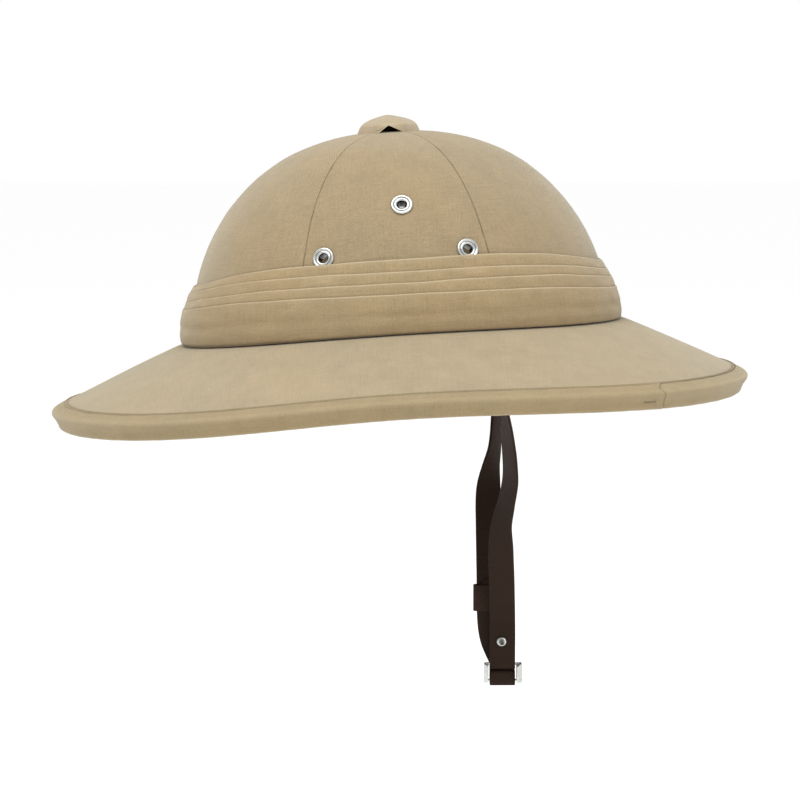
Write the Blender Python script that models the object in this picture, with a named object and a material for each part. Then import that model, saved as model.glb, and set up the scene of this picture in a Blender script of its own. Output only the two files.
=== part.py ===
# Pith helmet with a pleated band, a cloth ventilator cap, eyelets and a leather chin strap.
# Metres, +Z up. The wearer faces +X. The origin is the middle of the crown's base, where a head seats.

import math

import bmesh
import bpy
from mathutils import Matrix, Vector

for old_object in list(bpy.data.objects):
    bpy.data.objects.remove(old_object, do_unlink=True)

# Fits and materials' thicknesses
gap = 0.0003
cloth = 0.0010
shell_wall = 0.0040
brim_thickness = 0.0068

# Crown, measured over its cloth
crown_half_length = 0.1023
crown_half_width = 0.0880
crown_height = 0.0973
crown_plan_fullness = 2.1
crown_side_fullness = 2.34
base_side_rise = 0.0045
gore_count = 6
vent_radius = 0.0075

# Brim, measured over its binding
rim_front_reach = 0.1675
rim_back_reach = 0.1730
rim_half_width = 0.1480
rim_plan_fullness = 2.15
rim_front_drop = 0.0310
rim_back_drop = 0.0275
rim_side_drop = 0.0222
rim_front_quarter_dip = 0.0016
rim_back_quarter_dip = 0.0027
binding_cloth = 0.0014
binding_corner = 0.0026
binding_joint_step = -5

# Pleated band round the crown
band_end_height = 0.0260
band_side_height = 0.0345
band_end_pinch = 5.0
band_stand = 0.0054
band_inner_gap = 0.0005

# Ventilator cap on top
cap_radius = 0.0153
cap_height = 0.0087
cap_cloth = 0.0016
cap_arch_width = 0.0112
cap_arch_height = 0.0036
cap_arch_forward = 0.0010

# Eyelets
eyelet_flange_radius = 0.00515
eyelet_hole_radius = 0.0025
eyelet_barrel_wall = 0.0006
eyelet_roll = 0.0010
eyelet_seat = 0.0006
eyelet_lower_spread = math.radians(23.5)
eyelet_lower_rise = math.radians(23.3)
eyelet_upper_azimuth = math.radians(86.5)
eyelet_upper_rise = math.radians(38.8)

# Chin strap, in the world frame because it hangs plumb
strap_width = 0.0125
strap_leather = 0.0014
strap_seat = 0.0012
strap_forward = 0.0500
strap_anchor_height = 0.0120
strap_fall_start = -0.0040
strap_tab_length = 0.0201
strap_tail_past_keeper = 0.0024
strap_tail_taper = 0.0060
strap_tip_share = 0.35
turn_share = 0.999
loop_share = 0.85
strap_spread_curve = 1.3
rivet_head_radius = 0.0040
rivet_shank_radius = 0.0017
rivet_head = 0.0010
stud_above_buckle = 0.0102
stud_head_radius = 0.0025
stud_shank_radius = 0.0011
stud_back_head = 0.0006
stud_front_head = 0.0011
keeper_top_above_buckle = 0.0381
keeper_height = 0.0130
keeper_leather = 0.0011

# Buckle
buckle_top = -0.1645
buckle_height = 0.0095
buckle_side = 0.0023
buckle_bar = 0.0012
buckle_flange = 0.0040

# How the helmet is worn in the photograph: front raised
worn_pitch = math.radians(3.7)

# Grids shared by every layer, so that neighbouring facets stay parallel
ring_steps = 42
crown_rises = [0, 9, 19, 29, 40, 51, 62, 74]
round_sides = 10
cap_sides = 18
hang_steps = 18
bend_steps = 4
brim_slope_step = 0.04

# Brim section: share of the reach, share of the drop
brim_section = [
    {"reach": 0.00, "drop": 0.000},
    {"reach": 0.10, "drop": 0.030},
    {"reach": 0.22, "drop": 0.145},
    {"reach": 0.42, "drop": 0.355},
    {"reach": 0.66, "drop": 0.615},
    {"reach": 0.885, "drop": 0.862},
    {"reach": 0.945, "drop": 0.930},
    {"reach": 1.00, "drop": 1.000},
]
hem_share = 0.885

# Band folds from the top edge down: share of the band's height, stand-off share above and below
band_folds = [
    {"rise": 1.000, "above": 0.10, "below": 0.29},
    {"rise": 0.815, "above": 0.27, "below": 0.47},
    {"rise": 0.670, "above": 0.45, "below": 0.66},
    {"rise": 0.535, "above": 0.64, "below": 0.89},
]
band_fold_lip = 0.016
band_belly = {"rise": 0.26, "stand": 1.00}
band_foot = {"rise": 0.00, "stand": 1.00}
band_back_rises = [0.0, 0.40, 0.75]

# Shares that round the edges of turned metal and of the binding
edge_in = 0.6
edge_half = 0.5
edge_fold = 0.3

# Cap section from its foot up: share of the radius, share of the height
cap_section = [
    {"radius": 1.00, "height": 0.00},
    {"radius": 0.94, "height": 0.22},
    {"radius": 0.86, "height": 0.44},
    {"radius": 0.63, "height": 0.74},
    {"radius": 0.30, "height": 0.94},
]

# Each strap half: share of the fall from the brim to the buckle, shift forward as a share of the
# strap's width, and the turn of its face in degrees
near_hang = [
    {"fall": 0.00, "forward": -0.04, "turn": 154},
    {"fall": 0.05, "forward": -0.03, "turn": 145},
    {"fall": 0.12, "forward": -0.02, "turn": 108},
    {"fall": 0.24, "forward": 0.04, "turn": 73},
    {"fall": 0.40, "forward": 0.21, "turn": 62},
    {"fall": 0.49, "forward": 0.07, "turn": 57},
    {"fall": 0.56, "forward": -0.09, "turn": 44},
    {"fall": 0.64, "forward": -0.10, "turn": 18},
    {"fall": 0.76, "forward": -0.04, "turn": 0},
    {"fall": 0.88, "forward": 0.00, "turn": 0},
    {"fall": 1.00, "forward": 0.00, "turn": 0},
]
far_hang = [
    {"fall": 0.00, "forward": -0.04, "turn": 154},
    {"fall": 0.05, "forward": -0.05, "turn": 145},
    {"fall": 0.12, "forward": -0.06, "turn": 108},
    {"fall": 0.24, "forward": -0.12, "turn": 72},
    {"fall": 0.36, "forward": -0.25, "turn": 64},
    {"fall": 0.42, "forward": -0.40, "turn": 48},
    {"fall": 0.49, "forward": -0.53, "turn": 16},
    {"fall": 0.58, "forward": -0.54, "turn": 0},
    {"fall": 0.74, "forward": -0.52, "turn": 0},
    {"fall": 0.86, "forward": -0.50, "turn": 0},
    {"fall": 0.93, "forward": -0.38, "turn": 0},
    {"fall": 1.00, "forward": 0.00, "turn": 0},
]

# Sizes that follow from the ones above
layer = cloth + gap
brim_under = layer + brim_thickness
buckle_half_bar = buckle_bar / 2
leg_offset = buckle_half_bar + gap + strap_leather / 2
tail_offset = leg_offset + strap_leather + 2 * gap + stud_back_head
standing_offset = tail_offset + strap_leather + gap
buckle_width = strap_width + 2 * gap + 2 * buckle_side
buckle_bottom = buckle_top - buckle_height
stud_height = buckle_top + stud_above_buckle
strap_tab_top = buckle_top + strap_tab_length
keeper_top = buckle_top + keeper_top_above_buckle
keeper_bottom = keeper_top - keeper_height
strap_tail_top = keeper_top + strap_tail_past_keeper
strap_fall = buckle_top - strap_fall_start
ring_step = 2 * math.pi / ring_steps
tilt = Matrix.Rotation(-worn_pitch, 4, "Y")


def material(name, colour, roughness, metallic=0.0):
    made = bpy.data.materials.new(name)
    made.use_nodes = True
    shader = made.node_tree.nodes["Principled BSDF"]
    shader.inputs["Base Color"].default_value = (*colour, 1.0)
    shader.inputs["Roughness"].default_value = roughness
    shader.inputs["Metallic"].default_value = metallic
    return made


khaki_top = material("khaki crown cloth", (0.45, 0.36, 0.23), 0.9)
khaki_brim = material("khaki brim cloth", (0.50, 0.42, 0.29), 0.9)
khaki_band = material("khaki band cloth", (0.40, 0.31, 0.18), 0.85)
khaki_shell = material("cloth covered pith", (0.43, 0.36, 0.24), 0.95)
brown_leather = material("dark brown leather", (0.024, 0.014, 0.010), 0.5)
nickel = material("nickel plate", (0.78, 0.78, 0.76), 0.25, 1.0)

worn = bpy.data.objects.new("worn_tilt", None)
bpy.context.collection.objects.link(worn)
worn.matrix_world = tilt


def add_object(name, mesh, finish, parent=None):
    mesh.materials.append(finish)
    made = bpy.data.objects.new(name, mesh)
    bpy.context.collection.objects.link(made)
    made.parent = parent
    return made


def mesh_from(name, build):
    shape = bmesh.new()
    build(shape)
    bmesh.ops.recalc_face_normals(shape, faces=shape.faces)
    mesh = bpy.data.meshes.new(name)
    shape.to_mesh(mesh)
    shape.free()
    mesh.shade_smooth()
    mesh.set_sharp_from_angle(angle=math.radians(40))
    return mesh


def superellipse(azimuth, length, width, fullness):
    along = abs(math.cos(azimuth) / length) ** fullness
    across = abs(math.sin(azimuth) / width) ** fullness
    return (along + across) ** (-1 / fullness)


def base_height(azimuth):
    return base_side_rise * math.sin(azimuth) ** 2


def crown_section(azimuth, rise, inset=0.0):
    # Radius and height at a rise angle, 0 at the base and a right angle at the top
    plan = superellipse(azimuth, crown_half_length - inset, crown_half_width - inset, crown_plan_fullness)
    radius = plan * max(math.cos(rise), 0.0) ** (2 / crown_side_fullness)
    lift = base_height(azimuth) * (1 - rise / (math.pi / 2))
    return radius, (crown_height - inset) * math.sin(rise) + lift


def rise_at_radius(share):
    return math.acos(share ** (crown_side_fullness / 2))


def rise_at_height(height):
    return math.asin(height / crown_height)


def section_point(azimuth, radius, height):
    return Vector((radius * math.cos(azimuth), radius * math.sin(azimuth), height))


def crown_point(azimuth, rise, inset=0.0):
    return section_point(azimuth, *crown_section(azimuth, rise, inset))


def crown_normal(azimuth, rise, inset=0.0):
    step = math.radians(1)
    across = crown_point(azimuth + step, rise, inset) - crown_point(azimuth - step, rise, inset)
    upward = crown_point(azimuth, rise + step, inset) - crown_point(azimuth, rise - step, inset)
    return across.cross(upward).normalized()


def rim_radius(azimuth):
    reach = rim_front_reach if math.cos(azimuth) > 0 else rim_back_reach
    return superellipse(azimuth, reach, rim_half_width, rim_plan_fullness)


def rim_height(azimuth):
    forward = math.cos(azimuth) > 0
    end_drop = rim_front_drop if forward else rim_back_drop
    quarter_dip = rim_front_quarter_dip if forward else rim_back_quarter_dip
    wave = (end_drop - rim_side_drop) * math.cos(azimuth) ** 2
    return -rim_side_drop - wave - quarter_dip * math.sin(2 * azimuth) ** 2


def drop_share(reach):
    rows = brim_section
    for low, high in zip(rows, rows[1:]):
        if reach <= high["reach"]:
            part = (reach - low["reach"]) / (high["reach"] - low["reach"])
            return low["drop"] + (high["drop"] - low["drop"]) * part
    return rows[-1]["drop"]


def brim_top(azimuth, reach):
    start = crown_section(azimuth, 0)[0]
    radius = start + (rim_radius(azimuth) - start) * reach
    drop = base_height(azimuth) - rim_height(azimuth)
    return Vector((radius, base_height(azimuth) - drop * drop_share(reach)))


def brim_frame(azimuth, reach):
    # Point on the top of the brim, the way outward along it and the way down into it
    before = brim_top(azimuth, max(reach - brim_slope_step, 0.0))
    after = brim_top(azimuth, min(reach + brim_slope_step, 1.0))
    outward = (after - before).normalized()
    return brim_top(azimuth, reach), outward, Vector((outward.y, -outward.x))


def brim_section_point(azimuth, reach, depth, back=0.0):
    point, outward, into = brim_frame(azimuth, reach)
    place = point - outward * back + into * depth
    return place.x, place.y


def ring_body(name, section, finish, first=0.0, steps=ring_steps, whole=True):
    # One closed section carried round the helmet; section(azimuth) gives radius and height pairs
    def build(shape):
        rings = []
        columns = steps if whole else steps + 1
        for column in range(columns):
            azimuth = first + column * ring_step
            if not whole and column == 0:
                azimuth += gap / (2 * rim_back_reach)
            if not whole and column == steps:
                azimuth -= gap / (2 * rim_back_reach)
            rings.append([shape.verts.new(section_point(azimuth, *pair)) for pair in section(azimuth)])
        pairs = list(zip(rings, rings[1:] + rings[:1])) if whole else list(zip(rings, rings[1:]))
        for here, there in pairs:
            count = len(here)
            for place in range(count):
                after = (place + 1) % count
                shape.faces.new((here[place], there[place], there[after], here[after]))
        if not whole:
            shape.faces.new(rings[0])
            shape.faces.new(rings[-1])
    return add_object(name, mesh_from(name, build), finish, worn)


def turned_body(name, profile, finish, place, parent, sides=round_sides):
    # A profile of radius and height pairs turned about the axis of the given placement matrix
    def build(shape):
        columns = []
        poles = {}
        for side in range(sides):
            angle = 2 * math.pi * side / sides
            column = []
            for index, (radius, height) in enumerate(profile):
                if radius == 0.0:
                    if index not in poles:
                        poles[index] = shape.verts.new(place @ Vector((0, 0, height)))
                    column.append(poles[index])
                else:
                    spot = Vector((radius * math.cos(angle), radius * math.sin(angle), height))
                    column.append(shape.verts.new(place @ spot))
            columns.append(column)
        for here, there in zip(columns, columns[1:] + columns[:1]):
            for low in range(len(profile)):
                high = (low + 1) % len(profile)
                corners = []
                for corner in (here[low], there[low], there[high], here[high]):
                    if corner not in corners:
                        corners.append(corner)
                if len(corners) > 2:
                    shape.faces.new(corners)
    return add_object(name, mesh_from(name, build), finish, parent)


def axis_matrix(origin, direction):
    turn = direction.to_track_quat("Z", "Y").to_matrix().to_4x4()
    return Matrix.Translation(origin) @ turn


def cut(target, cutter):
    cutter.hide_render = True
    cutter.display_type = "WIRE"
    boolean = target.modifiers.new("cut by " + cutter.name, "BOOLEAN")
    boolean.operation = "DIFFERENCE"
    boolean.solver = "EXACT"
    boolean.object = cutter


def box_object(name, low, high, finish, parent=None):
    def build(shape):
        bmesh.ops.create_cube(shape, size=1.0)
        size = Vector(high) - Vector(low)
        middle = (Vector(high) + Vector(low)) / 2
        bmesh.ops.scale(shape, vec=size, verts=shape.verts)
        bmesh.ops.translate(shape, vec=middle, verts=shape.verts)
    return add_object(name, mesh_from(name, build), finish, parent)


# Moulded shell: the crown's wall with a vent hole on top, and the brim that stands out from its foot
def crown_shell_section(azimuth):
    outer_inset = layer
    inner_inset = layer + shell_wall
    vent_rise = rise_at_radius(vent_radius / crown_half_width)
    rises = [math.radians(rise) for rise in crown_rises] + [vent_rise]
    outer_radius, base = crown_section(azimuth, 0, outer_inset)
    inner_radius = crown_section(azimuth, 0, inner_inset)[0]
    points = [crown_section(azimuth, rise, outer_inset) for rise in reversed(rises[1:])]
    points.append((outer_radius, base - layer))
    points.append((outer_radius, base - brim_under))
    points.append((inner_radius + shell_wall / 2, base - brim_under))
    points.append((inner_radius, base - shell_wall / 2))
    points += [crown_section(azimuth, rise, inner_inset) for rise in rises[1:]]
    return points


def brim_shell_section(azimuth):
    foot_radius, base = crown_section(azimuth, 0, layer)
    edge = binding_cloth + gap
    reaches = [row["reach"] for row in brim_section[1:-1]]
    points = [(foot_radius + gap, base - layer)]
    points += [brim_section_point(azimuth, reach, layer) for reach in reaches]
    points.append(brim_section_point(azimuth, 1.0, layer, edge))
    points.append(brim_section_point(azimuth, 1.0, brim_under, edge))
    points += [brim_section_point(azimuth, reach, brim_under) for reach in reversed(reaches[1:])]
    points.append((foot_radius + gap, base - brim_under))
    return points


crown_shell = ring_body("crown_shell", crown_shell_section, khaki_shell)
ring_body("brim_shell", brim_shell_section, khaki_shell)


# Six gores of cloth over the crown, a narrow seam between each two
def add_gore(number):
    span = 2 * math.pi / gore_count
    cells = ring_steps // gore_count
    top_rise = rise_at_radius(vent_radius / crown_half_width)
    rises = [math.radians(rise) for rise in crown_rises] + [top_rise]

    def seam_azimuth(column, radius):
        azimuth = number * span + column * ring_step
        half_seam = gap / 2 / radius
        if column == 0:
            azimuth += half_seam
        if column == cells:
            azimuth -= half_seam
        return azimuth

    def build(shape):
        skins = []
        for inset in (0.0, cloth):
            rows = []
            for rise in rises:
                row = []
                for column in range(cells + 1):
                    middle = number * span + column * ring_step
                    radius = crown_section(middle, rise, inset)[0]
                    row.append(shape.verts.new(crown_point(seam_azimuth(column, radius), rise, inset)))
                rows.append(row)
            skins.append(rows)
        for rows in skins:
            for low, high in zip(rows, rows[1:]):
                for here in range(cells):
                    shape.faces.new((low[here], low[here + 1], high[here + 1], high[here]))
        outer, inner = skins
        for edge in (0, cells):
            for low in range(len(rises) - 1):
                shape.faces.new((outer[low][edge], outer[low + 1][edge],
                                 inner[low + 1][edge], inner[low][edge]))
        for level in (0, -1):
            for here in range(cells):
                shape.faces.new((outer[level][here], outer[level][here + 1],
                                 inner[level][here + 1], inner[level][here]))
    name = "gore_" + str(number + 1)
    return add_object(name, mesh_from(name, build), khaki_top, worn)


gores = [add_gore(number) for number in range(gore_count)]


# Cloth over the top of the brim, from the crown to the hem
def cover_section(azimuth):
    start = crown_section(azimuth, 0)
    reaches = [row["reach"] for row in brim_section[1:-2]]
    hem_back = gap
    top = [brim_section_point(azimuth, reach, 0.0) for reach in reaches[:-1]]
    top.append(brim_section_point(azimuth, hem_share, 0.0, hem_back))
    under = [brim_section_point(azimuth, reach, cloth) for reach in reaches[:-1]]
    under.append(brim_section_point(azimuth, hem_share, cloth, hem_back))
    first = [(start[0] + gap, start[1] - cloth), (start[0] + gap, start[1])]
    return first + top + list(reversed(under))


ring_body("brim_cover", cover_section, khaki_brim)


# Folded cloth round the brim's edge, joined once on the near side
def binding_section(azimuth):
    proud = layer - gap - binding_cloth
    lower = brim_under + gap
    outer_low = lower + binding_cloth
    leg_reaches = [row["reach"] for row in brim_section if hem_share <= row["reach"] < 1.0]
    corner = binding_corner
    inner_edge = binding_cloth
    outer = [brim_section_point(azimuth, reach, proud) for reach in leg_reaches]
    outer.append(brim_section_point(azimuth, 1.0, proud, corner))
    outer.append(brim_section_point(azimuth, 1.0, proud + corner * edge_fold, corner * edge_fold))
    outer.append(brim_section_point(azimuth, 1.0, proud + corner, 0.0))
    outer.append(brim_section_point(azimuth, 1.0, outer_low - corner, 0.0))
    outer.append(brim_section_point(azimuth, 1.0, outer_low - corner * edge_fold, corner * edge_fold))
    outer.append(brim_section_point(azimuth, 1.0, outer_low, corner))
    outer += [brim_section_point(azimuth, reach, outer_low) for reach in reversed(leg_reaches)]
    inner = [brim_section_point(azimuth, reach, proud + binding_cloth) for reach in leg_reaches]
    inner.append(brim_section_point(azimuth, 1.0, proud + binding_cloth, inner_edge))
    inner.append(brim_section_point(azimuth, 1.0, lower, inner_edge))
    inner += [brim_section_point(azimuth, reach, lower) for reach in reversed(leg_reaches)]
    return outer + list(reversed(inner))


ring_body("brim_binding", binding_section, khaki_brim, first=binding_joint_step * ring_step, whole=False)


# Pleated band, lapped folds that stand off more toward the foot
def band_height(azimuth):
    middle = 1 - abs(math.cos(azimuth)) ** band_end_pinch
    return band_end_height + (band_side_height - band_end_height) * middle


def band_point(azimuth, rise, stand):
    height = base_height(azimuth) + gap + band_height(azimuth) * rise
    level = rise_at_height(max(height - base_height(azimuth), 0.0))
    radius = crown_section(azimuth, level)[0]
    return radius + band_inner_gap + stand, height


def band_section(azimuth):
    outer = []
    for fold in band_folds:
        outer.append(band_point(azimuth, fold["rise"], band_stand * fold["above"]))
        outer.append(band_point(azimuth, fold["rise"] - band_fold_lip, band_stand * fold["below"]))
    for row in (band_belly, band_foot):
        outer.append(band_point(azimuth, row["rise"], band_stand * row["stand"]))
    return outer + [band_point(azimuth, rise, 0.0) for rise in band_back_rises]


band = ring_body("puggaree", band_section, khaki_band)


# Ventilator cap with an arched opening on the near side
def add_cap():
    end_foot = crown_section(0, rise_at_radius(cap_radius / crown_half_length))[1]
    side_foot = crown_section(math.pi / 2, rise_at_radius(cap_radius / crown_half_width))[1]
    foot_height = max(end_foot, side_foot) + gap
    outer = [(cap_radius * row["radius"], foot_height + cap_height * row["height"]) for row in cap_section]
    inner = []
    for row in cap_section:
        radius = (cap_radius - cap_cloth) * row["radius"]
        height = foot_height + (cap_height - cap_cloth) * row["height"]
        inner.append((radius, height))
    profile = outer + [(0.0, foot_height + cap_height)]
    profile += [(0.0, foot_height + cap_height - cap_cloth)] + list(reversed(inner))
    cap = turned_body("vent_cap", profile, khaki_brim, Matrix.Identity(4), worn, sides=cap_sides)

    def build(shape):
        low = foot_height - cloth
        apex = foot_height + cap_arch_height
        half = cap_arch_width / 2
        outline = [(-half, low), (half, low), (half, foot_height), (0.0, apex), (-half, foot_height)]
        ends = []
        for across in (-2 * cap_radius, 0.0):
            ends.append([shape.verts.new((cap_arch_forward + x, across, z)) for x, z in outline])
        shape.faces.new(ends[0])
        shape.faces.new(ends[1])
        for here in range(len(outline)):
            after = (here + 1) % len(outline)
            shape.faces.new((ends[0][here], ends[1][here], ends[1][after], ends[0][after]))
    arch = add_object("cap_arch_cutter", mesh_from("cap_arch_cutter", build), khaki_brim, worn)
    cut(cap, arch)


add_cap()


# Eyelets: a rolled flange outside, a barrel through gore and shell, a turned lip inside
def add_eyelet(name, azimuth, rise):
    origin = crown_point(azimuth, rise)
    normal = crown_normal(azimuth, rise)
    place = axis_matrix(origin, normal)
    seat = eyelet_seat
    barrel = eyelet_hole_radius + eyelet_barrel_wall
    back = -(layer + shell_wall + 2 * eyelet_seat)
    lip = barrel + eyelet_roll
    profile = [
        (eyelet_hole_radius, seat + eyelet_roll * edge_in),
        (eyelet_hole_radius + eyelet_roll * edge_half, seat + eyelet_roll),
        (eyelet_flange_radius - eyelet_roll, seat + eyelet_roll),
        (eyelet_flange_radius, seat + eyelet_roll * edge_half),
        (eyelet_flange_radius, seat),
        (barrel, seat),
        (barrel, back),
        (lip, back),
        (lip, back - eyelet_barrel_wall),
        (eyelet_hole_radius, back - eyelet_barrel_wall),
    ]
    turned_body(name, profile, nickel, place, worn)
    hole = barrel + gap
    reach = 2 * (layer + shell_wall)
    bore = [(0.0, -reach), (hole, -reach), (hole, reach), (0.0, reach)]
    bore_cutter = turned_body(name + "_bore_cutter", bore, nickel, place, worn)
    notch_radius = eyelet_flange_radius + gap
    notch = [(0.0, 0.0), (notch_radius, 0.0), (notch_radius, reach), (0.0, reach)]
    notch_cutter = turned_body(name + "_notch_cutter", notch, nickel, place, worn)
    cut(crown_shell, bore_cutter)
    gore = gores[int((azimuth % (2 * math.pi)) // (2 * math.pi / gore_count))]
    cut(gore, bore_cutter)
    if rise == eyelet_lower_rise:
        cut(band, notch_cutter)
    else:
        bpy.data.objects.remove(notch_cutter, do_unlink=True)


for side_name, side in (("near", -1), ("far", 1)):
    forward = math.pi / 2 - eyelet_lower_spread
    backward = math.pi / 2 + eyelet_lower_spread
    add_eyelet("eyelet_" + side_name + "_front", side * forward, eyelet_lower_rise)
    add_eyelet("eyelet_" + side_name + "_back", side * backward, eyelet_lower_rise)
    add_eyelet("eyelet_" + side_name + "_top", side * eyelet_upper_azimuth, eyelet_upper_rise)


# Chin strap routes
def read_table(rows, key, column, share):
    # Smooth reading of one column, by cubic pieces through the rows
    for index in range(len(rows) - 1):
        low = rows[index]
        high = rows[index + 1]
        if share <= high[key] or index == len(rows) - 2:
            before = rows[max(index - 1, 0)]
            after = rows[min(index + 2, len(rows) - 1)]
            span = high[key] - low[key]
            part = min(max((share - low[key]) / span, 0.0), 1.0)
            rise_low = (high[column] - before[column]) / (high[key] - before[key]) * span
            rise_high = (after[column] - low[column]) / (after[key] - low[key]) * span
            square = part * part
            cube = square * part
            value = (2 * cube - 3 * square + 1) * low[column]
            value += (cube - 2 * square + part) * rise_low
            value += (3 * square - 2 * cube) * high[column]
            value += (cube - square) * rise_high
            return value
    return rows[-1][column]


def anchor_azimuth(side):
    # Where the inner wall is as far forward as the strap
    azimuth = math.radians(60)
    for _ in range(20):
        radius = crown_section(azimuth, 0, layer + shell_wall)[0]
        azimuth = math.acos(min(strap_forward / radius, 1.0))
    return side * azimuth


def anchor_frame(side, height):
    # Middle of the strap's end lying on the inner wall, and the wall's normal, in the world frame
    azimuth = anchor_azimuth(side)
    rise = rise_at_height(height)
    inset = layer + shell_wall
    normal = crown_normal(azimuth, rise, inset)
    place = crown_point(azimuth, rise, inset) - normal * (strap_seat + strap_leather / 2)
    return tilt @ place, tilt.to_3x3() @ normal


def corner_route(corners, radius, steps=bend_steps):
    # A route in the plane across the helmet, with each inner corner rounded
    route = [Vector(corners[0])]
    for before, corner, after in zip(corners, corners[1:], corners[2:]):
        corner = Vector(corner)
        toward = (Vector(before) - corner).normalized()
        onward = (Vector(after) - corner).normalized()
        half_angle = toward.angle(onward) / 2
        reach = radius / math.tan(half_angle)
        middle = corner + (toward + onward).normalized() * (radius / math.sin(half_angle))
        start = corner + toward * reach - middle
        turn = start.angle_signed(corner + onward * reach - middle)
        for step in range(steps + 1):
            angle = -turn * step / steps
            arm = Vector((start.x * math.cos(angle) - start.y * math.sin(angle),
                          start.x * math.sin(angle) + start.y * math.cos(angle)))
            route.append(middle + arm)
    route.append(Vector(corners[-1]))
    return route


def strap_stations(side, hang, foot_offset, straight_from, lower_route):
    # Rows of place, way across and width share, from the anchor down and round the buckle
    wall_place, wall_normal = anchor_frame(side, strap_anchor_height)
    wall_foot, foot_normal = anchor_frame(side, base_side_rise)
    down = (wall_foot - wall_place).normalized()
    across_wall = down.cross(wall_normal).normalized()
    if across_wall.x > 0:
        across_wall = -across_wall
    stations = []
    for reach in (-strap_width / 2, 0.0, (wall_foot - wall_place).length):
        stations.append((wall_place + down * reach, across_wall))
    start_spread = abs(wall_foot.y)
    straight_share = (straight_from - strap_fall_start) / strap_fall
    for step in range(1, hang_steps + 1):
        share = straight_share * step / hang_steps
        height = strap_fall_start + strap_fall * share
        part = 1 - step / hang_steps
        spread = foot_offset + (start_spread - foot_offset) * part ** strap_spread_curve
        stations.append(hang_station(side, hang, share, height, side * spread))
    for place in lower_route:
        share = min(max((place.y - strap_fall_start) / strap_fall, 0.0), 1.0)
        stations.append(hang_station(side, hang, share, place.y, place.x))
    return stations


def hang_station(side, hang, share, height, across):
    forward = strap_forward + strap_width * read_table(hang, "fall", "forward", share)
    turn = math.radians(read_table(hang, "fall", "turn", share))
    direction = Vector((math.cos(turn), side * math.sin(turn), 0.0))
    return Vector((forward, across, height)), direction


def strap_body(name, stations, finish, tail_taper=0.0):
    places = [place for place, across in stations]
    lengths = [0.0]
    for here, there in zip(places, places[1:]):
        lengths.append(lengths[-1] + (there - here).length)

    def build(shape):
        rings = []
        for index, (place, across) in enumerate(stations):
            before = places[max(index - 1, 0)]
            after = places[min(index + 1, len(places) - 1)]
            along = (after - before).normalized()
            wide = (across - along * across.dot(along)).normalized()
            thick = along.cross(wide)
            half = strap_width / 2
            from_tip = lengths[-1] - lengths[index]
            if from_tip < tail_taper:
                half *= strap_tip_share + (1 - strap_tip_share) * math.sqrt(from_tip / tail_taper)
            corners = []
            for right, front in ((1, 1), (-1, 1), (-1, -1), (1, -1)):
                spot = place + wide * half * right + thick * (strap_leather / 2) * front
                corners.append(shape.verts.new(spot))
            rings.append(corners)
        for here, there in zip(rings, rings[1:]):
            for corner in range(4):
                after = (corner + 1) % 4
                shape.faces.new((here[corner], there[corner], there[after], here[after]))
        shape.faces.new(rings[0])
        shape.faces.new(rings[-1])
    return add_object(name, mesh_from(name, build), finish)


turn_centre = buckle_top - buckle_bar
near_corners = [
    (-leg_offset, stud_height),
    (-leg_offset, turn_centre - leg_offset),
    (leg_offset, turn_centre - leg_offset),
    (leg_offset, stud_height),
    (leg_offset, strap_tab_top),
]
crossing_height = turn_centre - leg_offset - strap_leather - gap
loop_bottom = buckle_bottom - 2 * gap - strap_leather / 2
far_corners = [
    (standing_offset, keeper_bottom),
    (standing_offset, loop_bottom),
    (-leg_offset, loop_bottom),
    (-leg_offset, crossing_height),
    (tail_offset, crossing_height),
    (tail_offset, keeper_bottom),
    (tail_offset, keeper_top),
    (tail_offset, strap_tail_top - strap_tail_taper / 2),
    (tail_offset, strap_tail_top),
]


def plain_run(start, finish, count):
    return [Vector(start).lerp(Vector(finish), step / count) for step in range(count)]


near_bend = corner_route(near_corners[:4], leg_offset * turn_share)
near_lower = near_bend + [Vector(near_corners[4])]
near_strap = strap_body(
    "strap_near", strap_stations(-1, near_hang, leg_offset, strap_tab_top, near_lower), brown_leather)

far_bend = corner_route(far_corners[:6], leg_offset * loop_share)
far_down = plain_run(far_bend[0], far_bend[1], bend_steps)
far_up = plain_run(far_bend[-2], far_bend[-1], bend_steps)
far_lower = far_down + far_bend[1:-2] + far_up + [Vector(corner) for corner in far_corners[5:]]
far_strap = strap_body(
    "strap_far", strap_stations(1, far_hang, standing_offset, strap_tail_top, far_lower),
    brown_leather, strap_tail_taper)


# Plain rivet that holds each strap end to the inner wall
def add_rivet(name, side, strap):
    place, normal = anchor_frame(side, strap_anchor_height)
    face = -(strap_leather / 2 + gap)
    shank_end = strap_leather / 2 + strap_seat + shell_wall - gap
    profile = [
        (0.0, face - rivet_head),
        (rivet_head_radius * edge_in, face - rivet_head),
        (rivet_head_radius, face - rivet_head * edge_half),
        (rivet_head_radius, face),
        (rivet_shank_radius, face),
        (rivet_shank_radius, shank_end),
        (0.0, shank_end),
    ]
    axis = axis_matrix(place, normal)
    turned_body(name, profile, nickel, axis, None)
    hole = rivet_shank_radius + gap
    reach = shank_end + gap
    bore = [(0.0, -reach), (hole, -reach), (hole, reach), (0.0, reach)]
    cutter = turned_body(name + "_cutter", bore, nickel, axis, None)
    cut(strap, cutter)
    cut(crown_shell, cutter)


add_rivet("strap_rivet_near", -1, near_strap)
add_rivet("strap_rivet_far", 1, far_strap)


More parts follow.
